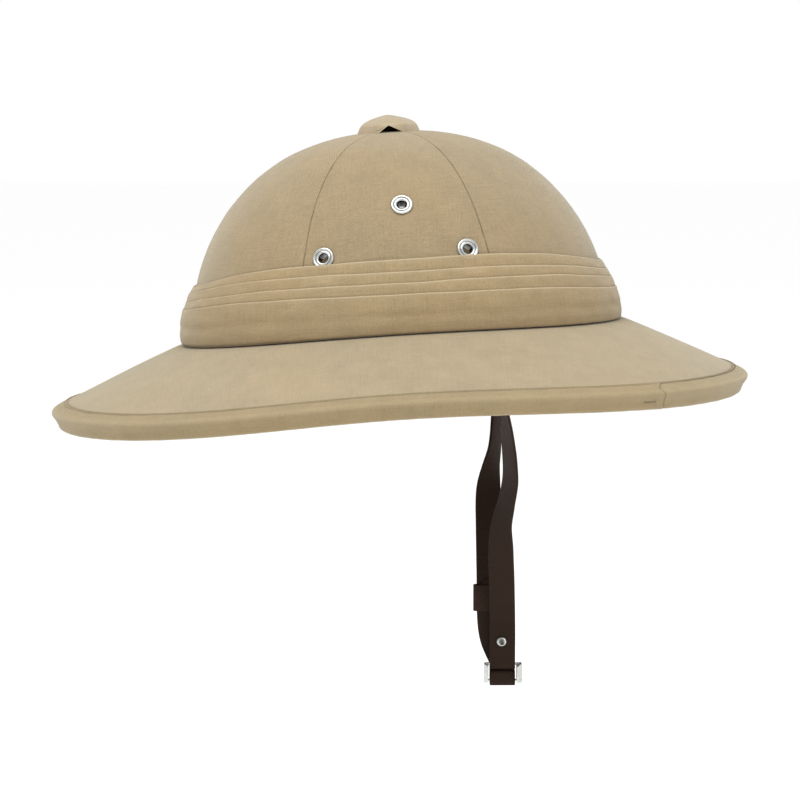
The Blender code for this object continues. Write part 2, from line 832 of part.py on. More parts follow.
# Stud through both layers of the near half, above the buckle
def add_stud():
    front = -leg_offset - strap_leather / 2 - gap
    back = leg_offset + strap_leather / 2 + gap
    axis = Matrix.Translation((strap_forward, 0, stud_height)) @ Matrix.Rotation(-math.pi / 2, 4, "X")
    profile = [
        (0.0, front - stud_front_head),
        (stud_head_radius * edge_in, front - stud_front_head),
        (stud_head_radius, front - stud_front_head * edge_half),
        (stud_head_radius, front),
        (stud_shank_radius, front),
        (stud_shank_radius, back),
        (stud_head_radius, back),
        (stud_head_radius, back + stud_back_head / 2),
        (0.0, back + stud_back_head / 2),
    ]
    turned_body("strap_stud", profile, nickel, axis, None)
    hole = stud_shank_radius + gap
    reach = back + 2 * gap
    bore = [(0.0, front - 2 * gap), (hole, front - 2 * gap), (hole, reach), (0.0, reach)]
    cut(near_strap, turned_body("strap_stud_cutter", bore, nickel, axis, None))


add_stud()


# Slide buckle: two bars between deep side flanges
def add_buckle():
    half_width = buckle_width / 2
    low = (strap_forward - half_width, -buckle_flange, buckle_bottom)
    high = (strap_forward + half_width, buckle_half_bar, buckle_top)
    buckle = box_object("strap_buckle", low, high, nickel)
    inside = half_width - buckle_side
    slot_low = (strap_forward - inside, -2 * buckle_flange, buckle_bottom + buckle_bar)
    slot_high = (strap_forward + inside, buckle_flange, buckle_top - buckle_bar)
    cut(buckle, box_object("buckle_slot_cutter", slot_low, slot_high, nickel))
    front_low = (strap_forward - inside, -2 * buckle_flange, buckle_bottom - buckle_bar)
    front_high = (strap_forward + inside, -buckle_half_bar, buckle_top + buckle_bar)
    cut(buckle, box_object("buckle_front_cutter", front_low, front_high, nickel))


add_buckle()


# Leather keeper round the far half and its free tail
def add_keeper():
    share = (keeper_top - keeper_height / 2 - strap_fall_start) / strap_fall
    middle = hang_station(1, far_hang, share, keeper_top, standing_offset)[0].x
    half = strap_width / 2 + 2 * gap
    front = tail_offset - strap_leather / 2 - gap
    back = standing_offset + strap_leather / 2 + gap
    wall = keeper_leather
    keeper = box_object("strap_keeper", (middle - half - wall, front - wall, keeper_bottom),
                        (middle + half + wall, back + wall, keeper_top), brown_leather)
    cut(keeper, box_object("keeper_cutter", (middle - half, front, keeper_bottom - wall),
                           (middle + half, back, keeper_top + wall), brown_leather))


add_keeper()
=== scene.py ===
import math

import bmesh
import bpy
from mathutils import Matrix, Vector, noise


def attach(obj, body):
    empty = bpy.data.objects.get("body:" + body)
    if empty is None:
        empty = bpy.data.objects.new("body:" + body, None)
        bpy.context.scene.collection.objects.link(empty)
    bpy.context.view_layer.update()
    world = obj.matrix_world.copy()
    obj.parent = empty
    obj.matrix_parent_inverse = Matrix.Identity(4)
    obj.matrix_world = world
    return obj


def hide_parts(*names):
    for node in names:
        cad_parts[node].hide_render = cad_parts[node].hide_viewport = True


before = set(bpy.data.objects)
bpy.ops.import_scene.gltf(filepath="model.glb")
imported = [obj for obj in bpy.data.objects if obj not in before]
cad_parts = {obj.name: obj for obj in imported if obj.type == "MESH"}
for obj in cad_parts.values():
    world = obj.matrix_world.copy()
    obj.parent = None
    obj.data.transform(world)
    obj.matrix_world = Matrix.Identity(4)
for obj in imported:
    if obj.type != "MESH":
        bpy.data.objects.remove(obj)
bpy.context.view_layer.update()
print("stage: frame loaded")

# Sizes shared with the solids, in metres
form = {
    "cloth": 0.0010, "gap": 0.0003, "shellWall": 0.0040, "brimThickness": 0.0068,
    "crownLength": 0.1023, "crownWidth": 0.0880, "crownHeight": 0.0973,
    "crownPlan": 2.1, "crownSide": 2.34, "sideRise": 0.0045,
    "frontReach": 0.1675, "backReach": 0.1730, "rimWidth": 0.1480, "rimPlan": 2.15,
    "frontDrop": 0.0310, "backDrop": 0.0275, "sideDrop": 0.0222,
    "frontDip": 0.0016, "backDip": 0.0027, "ventRadius": 0.0075, "pitch": 3.7,
}
form["layer"] = form["cloth"] + form["gap"]
form["under"] = form["layer"] + form["brimThickness"]
tilt = Matrix.Rotation(-math.radians(form["pitch"]), 4, "Y")

brimSection = [(0.0, 0.0), (0.10, 0.030), (0.22, 0.145), (0.42, 0.355), (0.66, 0.615),
               (0.885, 0.862), (0.945, 0.930), (1.0, 1.0)]   # reach, drop
hemShare = 0.885


def between(low, high, share):
    return low + (high - low) * share


def smoothStep(share):
    share = min(max(share, 0.0), 1.0)
    return share * share * (3 - 2 * share)


def readTable(rows, share, column=1):
    # cubic reading of one column against the first
    for index in range(len(rows) - 1):
        low, high = rows[index], rows[index + 1]
        if share <= high[0] or index == len(rows) - 2:
            before, after = rows[max(index - 1, 0)], rows[min(index + 2, len(rows) - 1)]
            span = high[0] - low[0]
            part = min(max((share - low[0]) / span, 0.0), 1.0)
            leave = (high[column] - before[column]) / (high[0] - before[0]) * span
            reach = (after[column] - low[column]) / (after[0] - low[0]) * span
            square, cube = part ** 2, part ** 3
            return ((2 * cube - 3 * square + 1) * low[column] + (cube - 2 * square + part) * leave
                    + (3 * square - 2 * cube) * high[column] + (cube - square) * reach)


def superellipse(azimuth, length, width, fullness):
    return (abs(math.cos(azimuth) / length) ** fullness
            + abs(math.sin(azimuth) / width) ** fullness) ** (-1 / fullness)


def baseHeight(azimuth):
    return form["sideRise"] * math.sin(azimuth) ** 2


def crownSection(azimuth, rise, inset=0.0):
    # rise in radians, 0 at the base
    plan = superellipse(azimuth, form["crownLength"] - inset, form["crownWidth"] - inset, form["crownPlan"])
    radius = plan * max(math.cos(rise), 0.0) ** (2 / form["crownSide"])
    lift = baseHeight(azimuth) * (1 - rise / (math.pi / 2))
    return radius, (form["crownHeight"] - inset) * math.sin(rise) + lift


def ringPoint(azimuth, radius, height):
    return Vector((radius * math.cos(azimuth), radius * math.sin(azimuth), height))


def crownPoint(azimuth, rise, inset=0.0):
    return ringPoint(azimuth, *crownSection(azimuth, rise, inset))


def crownNormal(azimuth, rise, inset=0.0):
    step = math.radians(0.5)
    across = crownPoint(azimuth + step, rise, inset) - crownPoint(azimuth - step, rise, inset)
    upward = crownPoint(azimuth, rise + step, inset) - crownPoint(azimuth, rise - step, inset)
    return across.cross(upward).normalized()


def riseAtRadius(share):
    return math.acos(share ** (form["crownSide"] / 2))


def riseAtHeight(height):
    return math.asin(min(max(height / form["crownHeight"], 0.0), 1.0))


def rimRadius(azimuth):
    reach = form["frontReach"] if math.cos(azimuth) > 0 else form["backReach"]
    return superellipse(azimuth, reach, form["rimWidth"], form["rimPlan"])


def rimHeight(azimuth):
    ahead = smoothStep(0.5 + 1.5 * math.cos(azimuth))   # eases from back to front
    endDrop = between(form["backDrop"], form["frontDrop"], ahead)
    dip = between(form["backDip"], form["frontDip"], ahead)
    wave = (endDrop - form["sideDrop"]) * math.cos(azimuth) ** 2
    return -form["sideDrop"] - wave - dip * math.sin(2 * azimuth) ** 2


def brimTop(azimuth, reach):
    start = crownSection(azimuth, 0)[0]
    drop = baseHeight(azimuth) - rimHeight(azimuth)
    return Vector((between(start, rimRadius(azimuth), reach),
                   baseHeight(azimuth) - drop * readTable(brimSection, reach)))


def brimPoint(azimuth, reach, depth, back=0.0):
    # depth goes into the brim, back goes toward the crown along it
    before, after = brimTop(azimuth, max(reach - 0.04, 0.0)), brimTop(azimuth, min(reach + 0.04, 1.0))
    outward = (after - before).normalized()
    place = brimTop(azimuth, reach) - outward * back + Vector((outward.y, -outward.x)) * depth
    return place.x, place.y


def spread(first, last, count):
    return [between(first, last, step / (count - 1)) for step in range(count)]


# Shader wiring
class Wire:
    def __init__(self, tree, socket=None):
        self.tree = tree
        self.socket = socket

    def node(self, kind, settings=None, inputs=None, output=0):
        made = self.tree.nodes.new(kind)
        for name, value in (settings or {}).items():
            if name == "stops":
                ramp = made.color_ramp
                for index, (place, colour) in enumerate(value):
                    stop = ramp.elements[index] if index < 2 else ramp.elements.new(place)
                    stop.position = place
                    stop.color = (*colour, 1.0)
            else:
                setattr(made, name, value)
        for name, value in (inputs or {}).items():
            if isinstance(value, Wire):
                self.tree.links.new(value.socket, made.inputs[name])
            else:
                made.inputs[name].default_value = value
        return Wire(self.tree, made.outputs[output])

    def maths(self, operation, first, second=0.0):
        return self.node("ShaderNodeMath", {"operation": operation}, {0: first, 1: second})

    def __add__(self, other):
        return self.maths("ADD", self, other)

    def __sub__(self, other):
        return self.maths("SUBTRACT", self, other)

    def __rsub__(self, other):
        return self.maths("SUBTRACT", other, self)

    def __mul__(self, other):
        return self.maths("MULTIPLY", self, other)

    def __truediv__(self, other):
        return self.maths("DIVIDE", self, other)

    def __pow__(self, other):
        return self.maths("POWER", self, other)

    __radd__ = __add__
    __rmul__ = __mul__

    def clamp(self):
        return self.node("ShaderNodeClamp", {}, {"Value": self, "Min": 0.0, "Max": 1.0})


def startMaterial(name):
    made = bpy.data.materials.new(name)
    made.use_nodes = True
    return made, Wire(made.node_tree), made.node_tree.nodes["Principled BSDF"]


def objectPlace(wire):
    return wire.node("ShaderNodeTexCoord", output=3)


def clothPlace(wire):
    return wire.node("ShaderNodeUVMap", {"uv_map": "cloth"})


def paintedLightWearAndGrimeMarks(wire):
    # below 0: painted shade in creases, seams and hollows, with grime on metal; above 0: worn edges, lighter
    # with painted highlight
    return wire.node("ShaderNodeAttribute", {"attribute_name": "fold"}, output=2)


def secondOutput(wire):
    return Wire(wire.tree, wire.socket.node.outputs[1])


def mixColour(wire, factor, first, second, blend="MIX"):
    # 6 and 7 are the two colours, output 2 is the mixed one
    def colour(value):
        return value if isinstance(value, Wire) else (*value, 1.0)
    return wire.node("ShaderNodeMix", {"data_type": "RGBA", "blend_type": blend},
                     {0: factor, 6: colour(first), 7: colour(second)}, output=2)


def streaks(wire, lay, length, width):
    # noise drawn out along the cloth map's two ways, in metres
    drawn = wire.node("ShaderNodeMapping", {}, {"Vector": lay, "Scale": (1 / length, 1 / width, 1.0)})
    return wire.node("ShaderNodeTexNoise", {"noise_dimensions": "2D"},
                     {"Vector": drawn, "Scale": 1.0, "Detail": 3.0, "Roughness": 0.6})


def relieved(wire, height, strength):
    return wire.node("ShaderNodeBump", {}, {"Strength": strength, "Distance": 1.0, "Height": height})


def speckle(wire, place, size, detail=2.0, roughness=0.5):
    # size in metres
    return wire.node("ShaderNodeTexNoise", {"noise_dimensions": "3D"},
                     {"Vector": place, "Scale": 1.0 / size, "Detail": detail, "Roughness": roughness})


def feed(material, shader, **links):
    tree = material.node_tree
    for name, value in links.items():
        socket = shader.inputs[name.replace("_", " ")]
        if isinstance(value, Wire):
            tree.links.new(value.socket, socket)
        else:
            socket.default_value = value


weave = {"wobble": 0.009, "slubLength": 0.0105, "slubWidth": 0.0009, "warpLength": 0.0120, "warpWidth": 0.0009,
         "fleck": 0.0009, "cloud": 0.045, "patch": 0.011, "grain": 0.0007}   # sizes in metres


def twillCloth(name, look):
    # twill ridges, slubs and flecks mix the light and dark yarns; mottle, grain, painted crease shade and
    # lighter worn and lit edges go over them
    material, wire, shader = startMaterial(name)
    where, lay, fold = objectPlace(wire), clothPlace(wire), paintedLightWearAndGrimeMarks(wire)
    along = wire.node("ShaderNodeSeparateXYZ", {}, {0: lay})
    upward = secondOutput(along)
    wobble = speckle(wire, where, weave["wobble"], 1.0) * 0.5
    diagonal = (along * look["lean"] + upward) / look["pitch"] + wobble
    ridge = 0.5 + 0.5 * wire.maths("SINE", diagonal * math.tau)
    crossed = 0.5 + 0.5 * wire.maths("SINE", (upward - along * 0.7) * (math.tau * 0.8 / look["pitch"]))
    yarn = ridge * (0.65 + 0.35 * crossed)
    slub = streaks(wire, lay, weave["slubLength"], weave["slubWidth"])
    warpSlub = streaks(wire, lay, weave["warpWidth"], weave["warpLength"])
    fleck = speckle(wire, where, weave["fleck"], 3.0, 0.7)
    cloud = speckle(wire, where, weave["cloud"], 3.0, 0.55)
    patch = speckle(wire, where, weave["patch"], 3.0, 0.6)
    grain = speckle(wire, where, weave["grain"], 2.0, 0.8)
    share = yarn * look["yarnShare"] + slub * 0.35 + warpSlub * 0.35 + fleck * 0.7 - look["yarnOffset"]
    base = mixColour(wire, share.clamp(), look["dark"], look["light"])
    warm = mixColour(wire, ((cloud - 0.5) * look["mottle"] + 0.5).clamp(), look["coolTint"], look["warmTint"])
    patchy = mixColour(wire, ((patch - 0.5) * 1.6 + (grain - 0.5) * look["grain"] + 0.5).clamp(),
                       (0.90, 0.90, 0.89), (1.05, 1.05, 1.05))
    aged = mixColour(wire, 1.0, mixColour(wire, 1.0, base, warm, "MULTIPLY"), patchy, "MULTIPLY")
    # painted shade: darker cloth in creases, seams, tucks and hollows
    creaseShaded = mixColour(wire, (fold * -1.0).clamp(), aged, look["creaseShadeColour"])
    # lighter edges: wear, with painted highlight where light catches fold lips and bends
    worn = mixColour(wire, (fold * look["wearAndHighlight"]).clamp(), creaseShaded, look["wornColour"])
    relief = (yarn + slub * 0.8 + warpSlub * 0.6 + fleck * 0.9) * look["relief"]
    feed(material, shader, Base_Color=worn, Normal=relieved(wire, relief, look["bump"]),
         Roughness=0.86 + 0.1 * fleck, Sheen_Weight=look["sheen"], Sheen_Roughness=0.42,
         Sheen_Tint=(0.95, 1.0, 0.96, 1.0), Specular_IOR_Level=0.18)
    return material


clothLook = {
    "light": (0.395, 0.308, 0.192), "dark": (0.212, 0.158, 0.088), "lean": 1.15, "pitch": 0.00095,
    "yarnShare": 0.42, "yarnOffset": 0.35, "mottle": 2.2, "warmTint": (1.0, 0.975, 0.93),
    "coolTint": (0.95, 0.965, 0.96), "creaseShadeColour": (0.115, 0.078, 0.040),
    "wornColour": (0.52, 0.43, 0.29), "wearAndHighlight": 0.6, "relief": 0.00012, "bump": 0.8, "sheen": 0.34, "grain": 2.6,
}
crownCloth = twillCloth("crownCloth", clothLook)
brimCloth = twillCloth("brimCloth", {**clothLook, "light": (0.408, 0.330, 0.216), "dark": (0.254, 0.198, 0.118),
                                     "grain": 1.4})
# a darker copy of the cloth for the binding: partly a darker strip, partly painted shade on the rim's edge
edgeCloth = twillCloth("edgeCloth", {**clothLook, "light": (0.385, 0.298, 0.175), "dark": (0.230, 0.172, 0.088),
                                     "sheen": 0.26})
bandCloth = twillCloth("bandCloth", {**clothLook, "light": (0.408, 0.312, 0.186), "dark": (0.230, 0.167, 0.087),
                                     "pitch": 0.0009, "relief": 0.00010, "wearAndHighlight": 0.75, "sheen": 0.28})
# a lighter copy of the cloth for the cap on top: painted light from above
litCapCloth = twillCloth("litCapCloth", {**clothLook, "light": (0.430, 0.355, 0.245), "dark": (0.300, 0.240, 0.160),
                                   "grain": 1.6})
innerCloth = twillCloth("innerCloth", {**clothLook, "light": (0.24, 0.19, 0.12), "dark": (0.14, 0.105, 0.062)})


def darkLeather(name, look):
    material, wire, shader = startMaterial(name)
    where = objectPlace(wire)
    cells = wire.node("ShaderNodeTexVoronoi", {"feature": "DISTANCE_TO_EDGE"},
                      {"Vector": where, "Scale": 1 / look["grain"]})
    groove = (cells * 5.0).clamp()
    pores = speckle(wire, where, look["pore"], 3.0, 0.6)
    cloud = speckle(wire, where, look["cloud"], 4.0, 0.6)
    crease = streaks(wire, clothPlace(wire), look["creaseLength"], look["creaseWidth"])
    base = mixColour(wire, ((cloud - 0.5) * 1.7 + 0.5).clamp(), look["dark"], look["light"])
    ground = mixColour(wire, (groove * 0.4 + crease * 0.8 + 0.1).clamp(), look["deep"], base)
    # lighter strap and keeper edges: wear, with painted highlight along the bevelled edge
    rubbedAndHighlighted = mixColour(wire, (paintedLightWearAndGrimeMarks(wire) * look["wearAndHighlight"]).clamp(), ground, look["worn"])
    height = (groove + pores * 0.6 + crease * 6.0) * look["relief"]
    feed(material, shader, Base_Color=rubbedAndHighlighted, Normal=relieved(wire, height, 0.8),
         Roughness=look["roughness"] + 0.16 * cloud, Specular_IOR_Level=look["gloss"])
    return material


strapLeather = darkLeather("strapLeather", {
    "dark": (0.0080, 0.0037, 0.0020), "light": (0.0155, 0.0078, 0.0045), "deep": (0.0040, 0.0021, 0.0014),
    "worn": (0.060, 0.037, 0.026), "wearAndHighlight": 0.6, "grain": 0.00055, "pore": 0.0005,
    "cloud": 0.014, "creaseLength": 0.016, "creaseWidth": 0.0016, "relief": 0.00004, "roughness": 0.48,
    "gloss": 0.06})


def platedMetal(name, look):
    material, wire, shader = startMaterial(name)
    where = objectPlace(wire)
    tarnish = speckle(wire, where, look["tarnish"], 4.0, 0.6)
    drawn = wire.node("ShaderNodeMapping", {}, {"Vector": where, "Rotation": (0.5, 0.3, 0.9), "Scale": (
        1 / look["scratchLength"], 1 / look["scratchWidth"], 1 / look["scratchLength"])})
    scratches = wire.node("ShaderNodeTexNoise", {}, {"Vector": drawn, "Scale": 1.0, "Detail": 2.0})
    base = mixColour(wire, ((tarnish - 0.45) * 2.2).clamp(), look["bright"], look["dull"])
    # painted shade, with some grime, in the hollows, down the hole and at the rolled edges
    shadedAndGrimy = mixColour(wire, (paintedLightWearAndGrimeMarks(wire) * -1.0).clamp(), base, look["shadeAndGrime"])
    feed(material, shader, Base_Color=shadedAndGrimy, Normal=relieved(wire, scratches * look["relief"], 0.35),
         Roughness=look["roughness"] + 0.14 * tarnish, Metallic=1.0)
    return material


nickelPlate = platedMetal("nickelPlate", {
    "bright": (0.56, 0.57, 0.55), "dull": (0.36, 0.365, 0.34), "shadeAndGrime": (0.030, 0.032, 0.026), "roughness": 0.19,
    "tarnish": 0.0018, "scratchLength": 0.0040, "scratchWidth": 0.00016, "relief": 0.00002})


def sewingThread(name, look):
    # lighter along most of the hem, darker toward the front
    material, wire, shader = startMaterial(name)
    where = objectPlace(wire)
    twist = speckle(wire, where, look["twist"], 2.0)
    ahead = wire.node("ShaderNodeSeparateXYZ", {}, {0: where})
    towardFront = ((ahead - look["darkerThreadFrom"]) / look["darkerThreadOver"]).clamp()
    lighterThread = mixColour(wire, twist, look["lighterThreadDeep"], look["lighterThread"])
    darkerThread = mixColour(wire, twist, look["darkerThreadDeep"], look["darkerThread"])
    feed(material, shader, Base_Color=mixColour(wire, towardFront, lighterThread, darkerThread), Roughness=0.75 + 0.1 * twist,
         Normal=relieved(wire, twist * look["relief"], 0.6))
    return material


khakiThread = sewingThread("khakiThread", {
    "lighterThread": (0.345, 0.270, 0.165), "lighterThreadDeep": (0.240, 0.182, 0.108), "darkerThreadFrom": 0.115,
    "darkerThreadOver": 0.02, "twist": 0.0004, "relief": 0.0001,
    "darkerThread": (0.200, 0.148, 0.085), "darkerThreadDeep": (0.110, 0.080, 0.044)})
print("stage: materials made")


# Making pieces
def finishPiece(name, shape, material, nodes, sharp=None):
    bmesh.ops.recalc_face_normals(shape, faces=shape.faces)
    mesh = bpy.data.meshes.new(name)
    shape.to_mesh(mesh)
    shape.free()
    mesh.shade_smooth()
    if sharp:
        mesh.set_sharp_from_angle(angle=math.radians(sharp))
    mesh.materials.append(material)
    piece = bpy.data.objects.new(name, mesh)
    bpy.context.scene.collection.objects.link(piece)
    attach(piece, "root")
    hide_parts(*nodes)
    return piece


def clothLayers(shape):
    return shape.loops.layers.uv.new("cloth"), shape.verts.layers.float.new("fold")


def layCloth(shape, clothMap, lays):
    for face in shape.faces:
        for corner in face.loops:
            corner[clothMap].uv = lays[corner.vert.index]


def spinLine(shape, points, closed, steps, marks=None, merge=0.0001):
    # a line of points spun a full turn about the upright axis
    line = [shape.verts.new(point) for point in points]
    if marks:
        paintedLightWearAndGrimeMark = shape.verts.layers.float["fold"]
        for vert, mark in zip(line, marks):
            vert[paintedLightWearAndGrimeMark] = mark
    edges = [shape.edges.new(pair) for pair in zip(line, line[1:])]
    if closed:
        edges.append(shape.edges.new((line[-1], line[0])))
    bmesh.ops.spin(shape, geom=line + edges, cent=(0, 0, 0), axis=(0, 0, 1), angle=math.tau,
                   steps=steps, use_merge=True)
    bmesh.ops.remove_doubles(shape, verts=shape.verts, dist=merge)


def latheShape(rows, steps, place, lay, shade=None, loop=True, first=0.0, crowd=0.0):
    # A column of rows spun into a tube, then each point put where place(azimuth, row) says.
    # crowd above 0 gathers the steps at the first azimuth
    shape = bmesh.new()
    spinLine(shape, [(1, 0, row) for row in range(rows)], loop, steps)
    clothMap, paintedLightWearAndGrimeMark = clothLayers(shape)

    def turned(point, near=None):
        angle = math.atan2(point.y, point.x)
        if near is not None:
            angle += math.tau * round((near - angle) / math.tau)
        return angle

    def placed(angle):
        return first + angle - crowd * math.sin(angle)

    for face in shape.faces:
        middle = turned(face.calc_center_median())
        wraps = loop and max(v.co.z for v in face.verts) - min(v.co.z for v in face.verts) > 1.5
        for corner in face.loops:
            row = corner.vert.co.z
            if wraps and row < 0.5:
                row = rows
            corner[clothMap].uv = lay(placed(turned(corner.vert.co, middle)), row)
    for vert in shape.verts:
        azimuth, row = placed(turned(vert.co)), int(round(vert.co.z))
        if shade:
            vert[paintedLightWearAndGrimeMark] = shade(azimuth, row)
        vert.co = tilt @ place(azimuth, row)
    return shape


def applyModifiers(piece):
    # keeps what the modifiers make, and drops them
    graph = bpy.context.evaluated_depsgraph_get()
    made = bpy.data.meshes.new_from_object(piece.evaluated_get(graph))
    old = piece.data
    piece.modifiers.clear()
    piece.data = made
    bpy.data.meshes.remove(old)


# Where the eyelets sit
eyelet = {"flange": 0.00515, "hole": 0.0025, "wall": 0.0006, "seat": 0.0002,
          "spread": 23.5, "lowRise": 23.3, "topAzimuth": 86.5, "topRise": 38.8}


def eyeletPlaces():
    places = []
    for sideName, side in (("near", -1), ("far", 1)):
        for part, azimuth, rise in (("front", 90 - eyelet["spread"], eyelet["lowRise"]),
                                    ("back", 90 + eyelet["spread"], eyelet["lowRise"]),
                                    ("top", eyelet["topAzimuth"], eyelet["topRise"])):
            places.append((sideName, part, side * math.radians(azimuth), math.radians(rise)))
    return places


def axisMatrix(origin, direction):
    return Matrix.Translation(origin) @ direction.to_track_quat("Z", "Y").to_matrix().to_4x4()


def cutBores(piece, sideNames):
    # drills the eyelet holes through a cover
    shape = bmesh.new()
    for sideName, part, azimuth, rise in eyeletPlaces():
        if sideName in sideNames:
            place = tilt @ axisMatrix(crownPoint(azimuth, rise), crownNormal(azimuth, rise))
            bmesh.ops.create_cone(shape, cap_ends=True, segments=32, radius1=eyelet["hole"] + 0.0005,
                                  radius2=eyelet["hole"] + 0.0005, depth=0.024, matrix=place)
    mesh = bpy.data.meshes.new("boreCutter")
    shape.to_mesh(mesh)
    shape.free()
    cutter = bpy.data.objects.new("boreCutter", mesh)
    bpy.context.scene.collection.objects.link(cutter)
    boolean = piece.modifiers.new("bores", "BOOLEAN")
    boolean.operation, boolean.solver, boolean.object = "DIFFERENCE", "EXACT", cutter
    applyModifiers(piece)
    bpy.data.objects.remove(cutter, do_unlink=True)


# Moulded shell: crown wall and brim in one, its inside face seen from below
shellLook = {"steps": 168, "footRound": 0.0030, "unevenness": 0.00035}


def shellRows():
    rows = []
    ventRise = riseAtRadius(form["ventRadius"] / form["crownWidth"])
    for rise in spread(ventRise, 0.0, 26):
        rows.append(("wall", rise, form["layer"] + 0.0001))
    for reach in spread(0.05, 1.0, 22):
        rows.append(("brim", reach, form["layer"] + 0.0001))
    for reach in spread(1.0, 0.06, 24):
        rows.append(("brim", reach, form["under"]))
    for turn in spread(0, 90, 7):
        rows.append(("foot", math.radians(turn), 0.0))
    for rise in spread(0.03, ventRise, 34):
        rows.append(("wall", rise, form["layer"] + form["shellWall"]))
    return rows


def makeShell():
    rows = shellRows()

    def place(azimuth, row):
        kind, share, depth = rows[row]
        if kind == "wall":
            uneven = 0.0
            if depth > form["shellWall"]:
                uneven = shellLook["unevenness"] * noise.noise(crownPoint(azimuth, share) * 22)
            return crownPoint(azimuth, share, depth + max(uneven, 0.0))
        if kind == "brim":
            back = 0.0019 if share > 0.999 else 0.0
            radius, height = brimPoint(azimuth, share, depth, back)
            return ringPoint(azimuth, radius, height)
        inner = crownSection(azimuth, 0.0, form["layer"] + form["shellWall"])[0]
        corner = shellLook["footRound"]
        low = baseHeight(azimuth) - form["under"]
        return ringPoint(azimuth, inner + corner * (1 - math.sin(share)), low + corner * (1 - math.cos(share)))

    def lay(azimuth, row):
        return azimuth * 0.09, row * 0.0035

    shape = latheShape(len(rows), shellLook["steps"], place, lay)
    piece = finishPiece("mouldedShell", shape, innerCloth, ["crown_shell", "brim_shell"])
    cutBores(piece, ("near", "far"))
    return piece


makeShell()
print("stage: moulded shell")

# Six gores: cloth panels whose edges turn down into the seams
goreLook = {"across": 84, "up": 72, "seamGap": 0.00006, "turnDown": 0.00030, "turnWidth": 0.00055,
            "crowding": 2.0, "pucker": 0.00030, "puckerReach": 0.0105, "slack": 0.00022,
            "press": 0.00035, "pressReach": 0.0065, "tuck": 0.00018, "tuckReach": 0.0030, "wall": 0.0008}


def pucker(point):
    # small drawn folds that run out from each eyelet
    lift = 0.0
    for index, (_, _, azimuth, rise) in enumerate(eyeletPlaces()):
        centre = crownPoint(azimuth, rise)
        offset = point - centre
        distance = offset.length
        if distance > 0.05:
            continue
        normal = crownNormal(azimuth, rise)
        across = Vector((0, 0, 1)).cross(normal).normalized()
        upward = normal.cross(across)
        angle = math.atan2(offset.dot(upward), offset.dot(across))
        ring = smoothStep((distance - 0.004) / 0.003)
        fade = math.exp(-max(distance - 0.005, 0.0) / goreLook["puckerReach"])
        wave = math.cos(3 * angle + index * 1.7) + 0.6 * math.cos(5 * angle + index * 2.9)
        lift += goreLook["pucker"] * ring * fade * wave
        lift -= goreLook["press"] * math.exp(-(distance / goreLook["pressReach"]) ** 2)
    return lift


def makeGore(number):
    span = math.tau / 6
    topRise = riseAtRadius(form["ventRadius"] / form["crownWidth"])
    shape = bmesh.new()
    clothMap, paintedLightWearAndGrimeMark = clothLayers(shape)
    bmesh.ops.create_grid(shape, x_segments=goreLook["across"], y_segments=goreLook["up"], size=1.0)
    lays = {}
    for vert in shape.verts:
        side = math.copysign(1 - (1 - min(abs(vert.co.x), 1.0)) ** goreLook["crowding"], vert.co.x)
        rise = between(0.0, topRise, 0.5 + 0.5 * vert.co.y)
        middle = (number + 0.5) * span
        radius = crownSection(middle + side * span / 2, rise)[0]
        half = span / 2 - goreLook["seamGap"] / 2 / radius
        azimuth = middle + side * half
        point = crownPoint(azimuth, rise)
        toSeam = (1 - abs(side)) * half * radius
        drop = 0.0
        if toSeam < goreLook["turnWidth"]:
            over = 1 - toSeam / goreLook["turnWidth"]
            drop = goreLook["turnDown"] * (1 - math.sqrt(max(1 - over ** 2, 0.0)))
        tuck = goreLook["tuck"] * math.exp(-toSeam / goreLook["tuckReach"]) \
            * noise.noise(Vector((point.z * 210, number * 7.0, azimuth * 3)))
        slack = goreLook["slack"] * noise.noise(Vector((point.x * 32, point.y * 32, point.z * 26)))
        point += crownNormal(azimuth, rise) * (pucker(point) + slack + tuck - drop)
        lays[vert.index] = ((azimuth - middle) * radius, rise * 0.095)
        # painted shade along the seam where the cloth turns down
        vert[paintedLightWearAndGrimeMark] = -0.42 * math.exp(-(toSeam / 0.00034) ** 2)
        vert.co = tilt @ point
    layCloth(shape, clothMap, lays)
    bmesh.ops.recalc_face_normals(shape, faces=shape.faces)
    bmesh.ops.solidify(shape, geom=list(shape.faces), thickness=goreLook["wall"])
    name = "gore" + str(number + 1)
    return finishPiece(name, shape, crownCloth, ["gore_" + str(number + 1)])


for number in range(6):
    gore = makeGore(number)
    if number in (1, 4):
        cutBores(gore, ("far",) if number == 1 else ("near",))
print("stage: gores")

# Brim cloth, drawn smooth over the shell
coverLook = {"steps": 216, "softness": 0.00030, "wall": 0.0009}


def makeCover():
    reaches = spread(0.006, hemShare + 0.004, 44)
    rows = [(reach, 0.0) for reach in reaches]
    rows += [(reach, coverLook["wall"]) for reach in reversed(reaches[::3])]

    def place(azimuth, row):
        reach, depth = rows[row]
        radius, height = brimPoint(azimuth, reach, depth)
        point = ringPoint(azimuth, radius, height)
        calm = smoothStep(reach / 0.2) * smoothStep((hemShare - reach) / 0.12)
        point.z += coverLook["softness"] * calm * noise.noise(Vector((point.x * 24, point.y * 24, 3.0)))
        return point

    def lay(azimuth, row):
        reach = rows[int(row) % len(rows)][0]
        radius = between(crownSection(azimuth, 0)[0], rimRadius(azimuth), reach)
        return radius * math.cos(azimuth), radius * math.sin(azimuth)

    shape = latheShape(len(rows), coverLook["steps"], place, lay)
    return finishPiece("brimCover", shape, brimCloth, ["brim_cover"])


makeCover()
print("stage: brim cloth")

# Binding: a strip folded over the rim, joined once on the near side
bindingLook = {"steps": 400, "crowd": 0.975, "cloth": 0.0014, "joint": -41.6, "corner": 0.0026,
               "bead": 0.00035, "hollow": 0.00030, "hemSink": 0.00038, "jointSink": 0.0004,
               "jointWidth": 0.0005, "leanHem": 0.0034,
               "leanBend": -0.0034, "leanFoot": 0.0020, "tickFrom": -0.0130, "tickTo": -0.0052, "tickRow": 22}


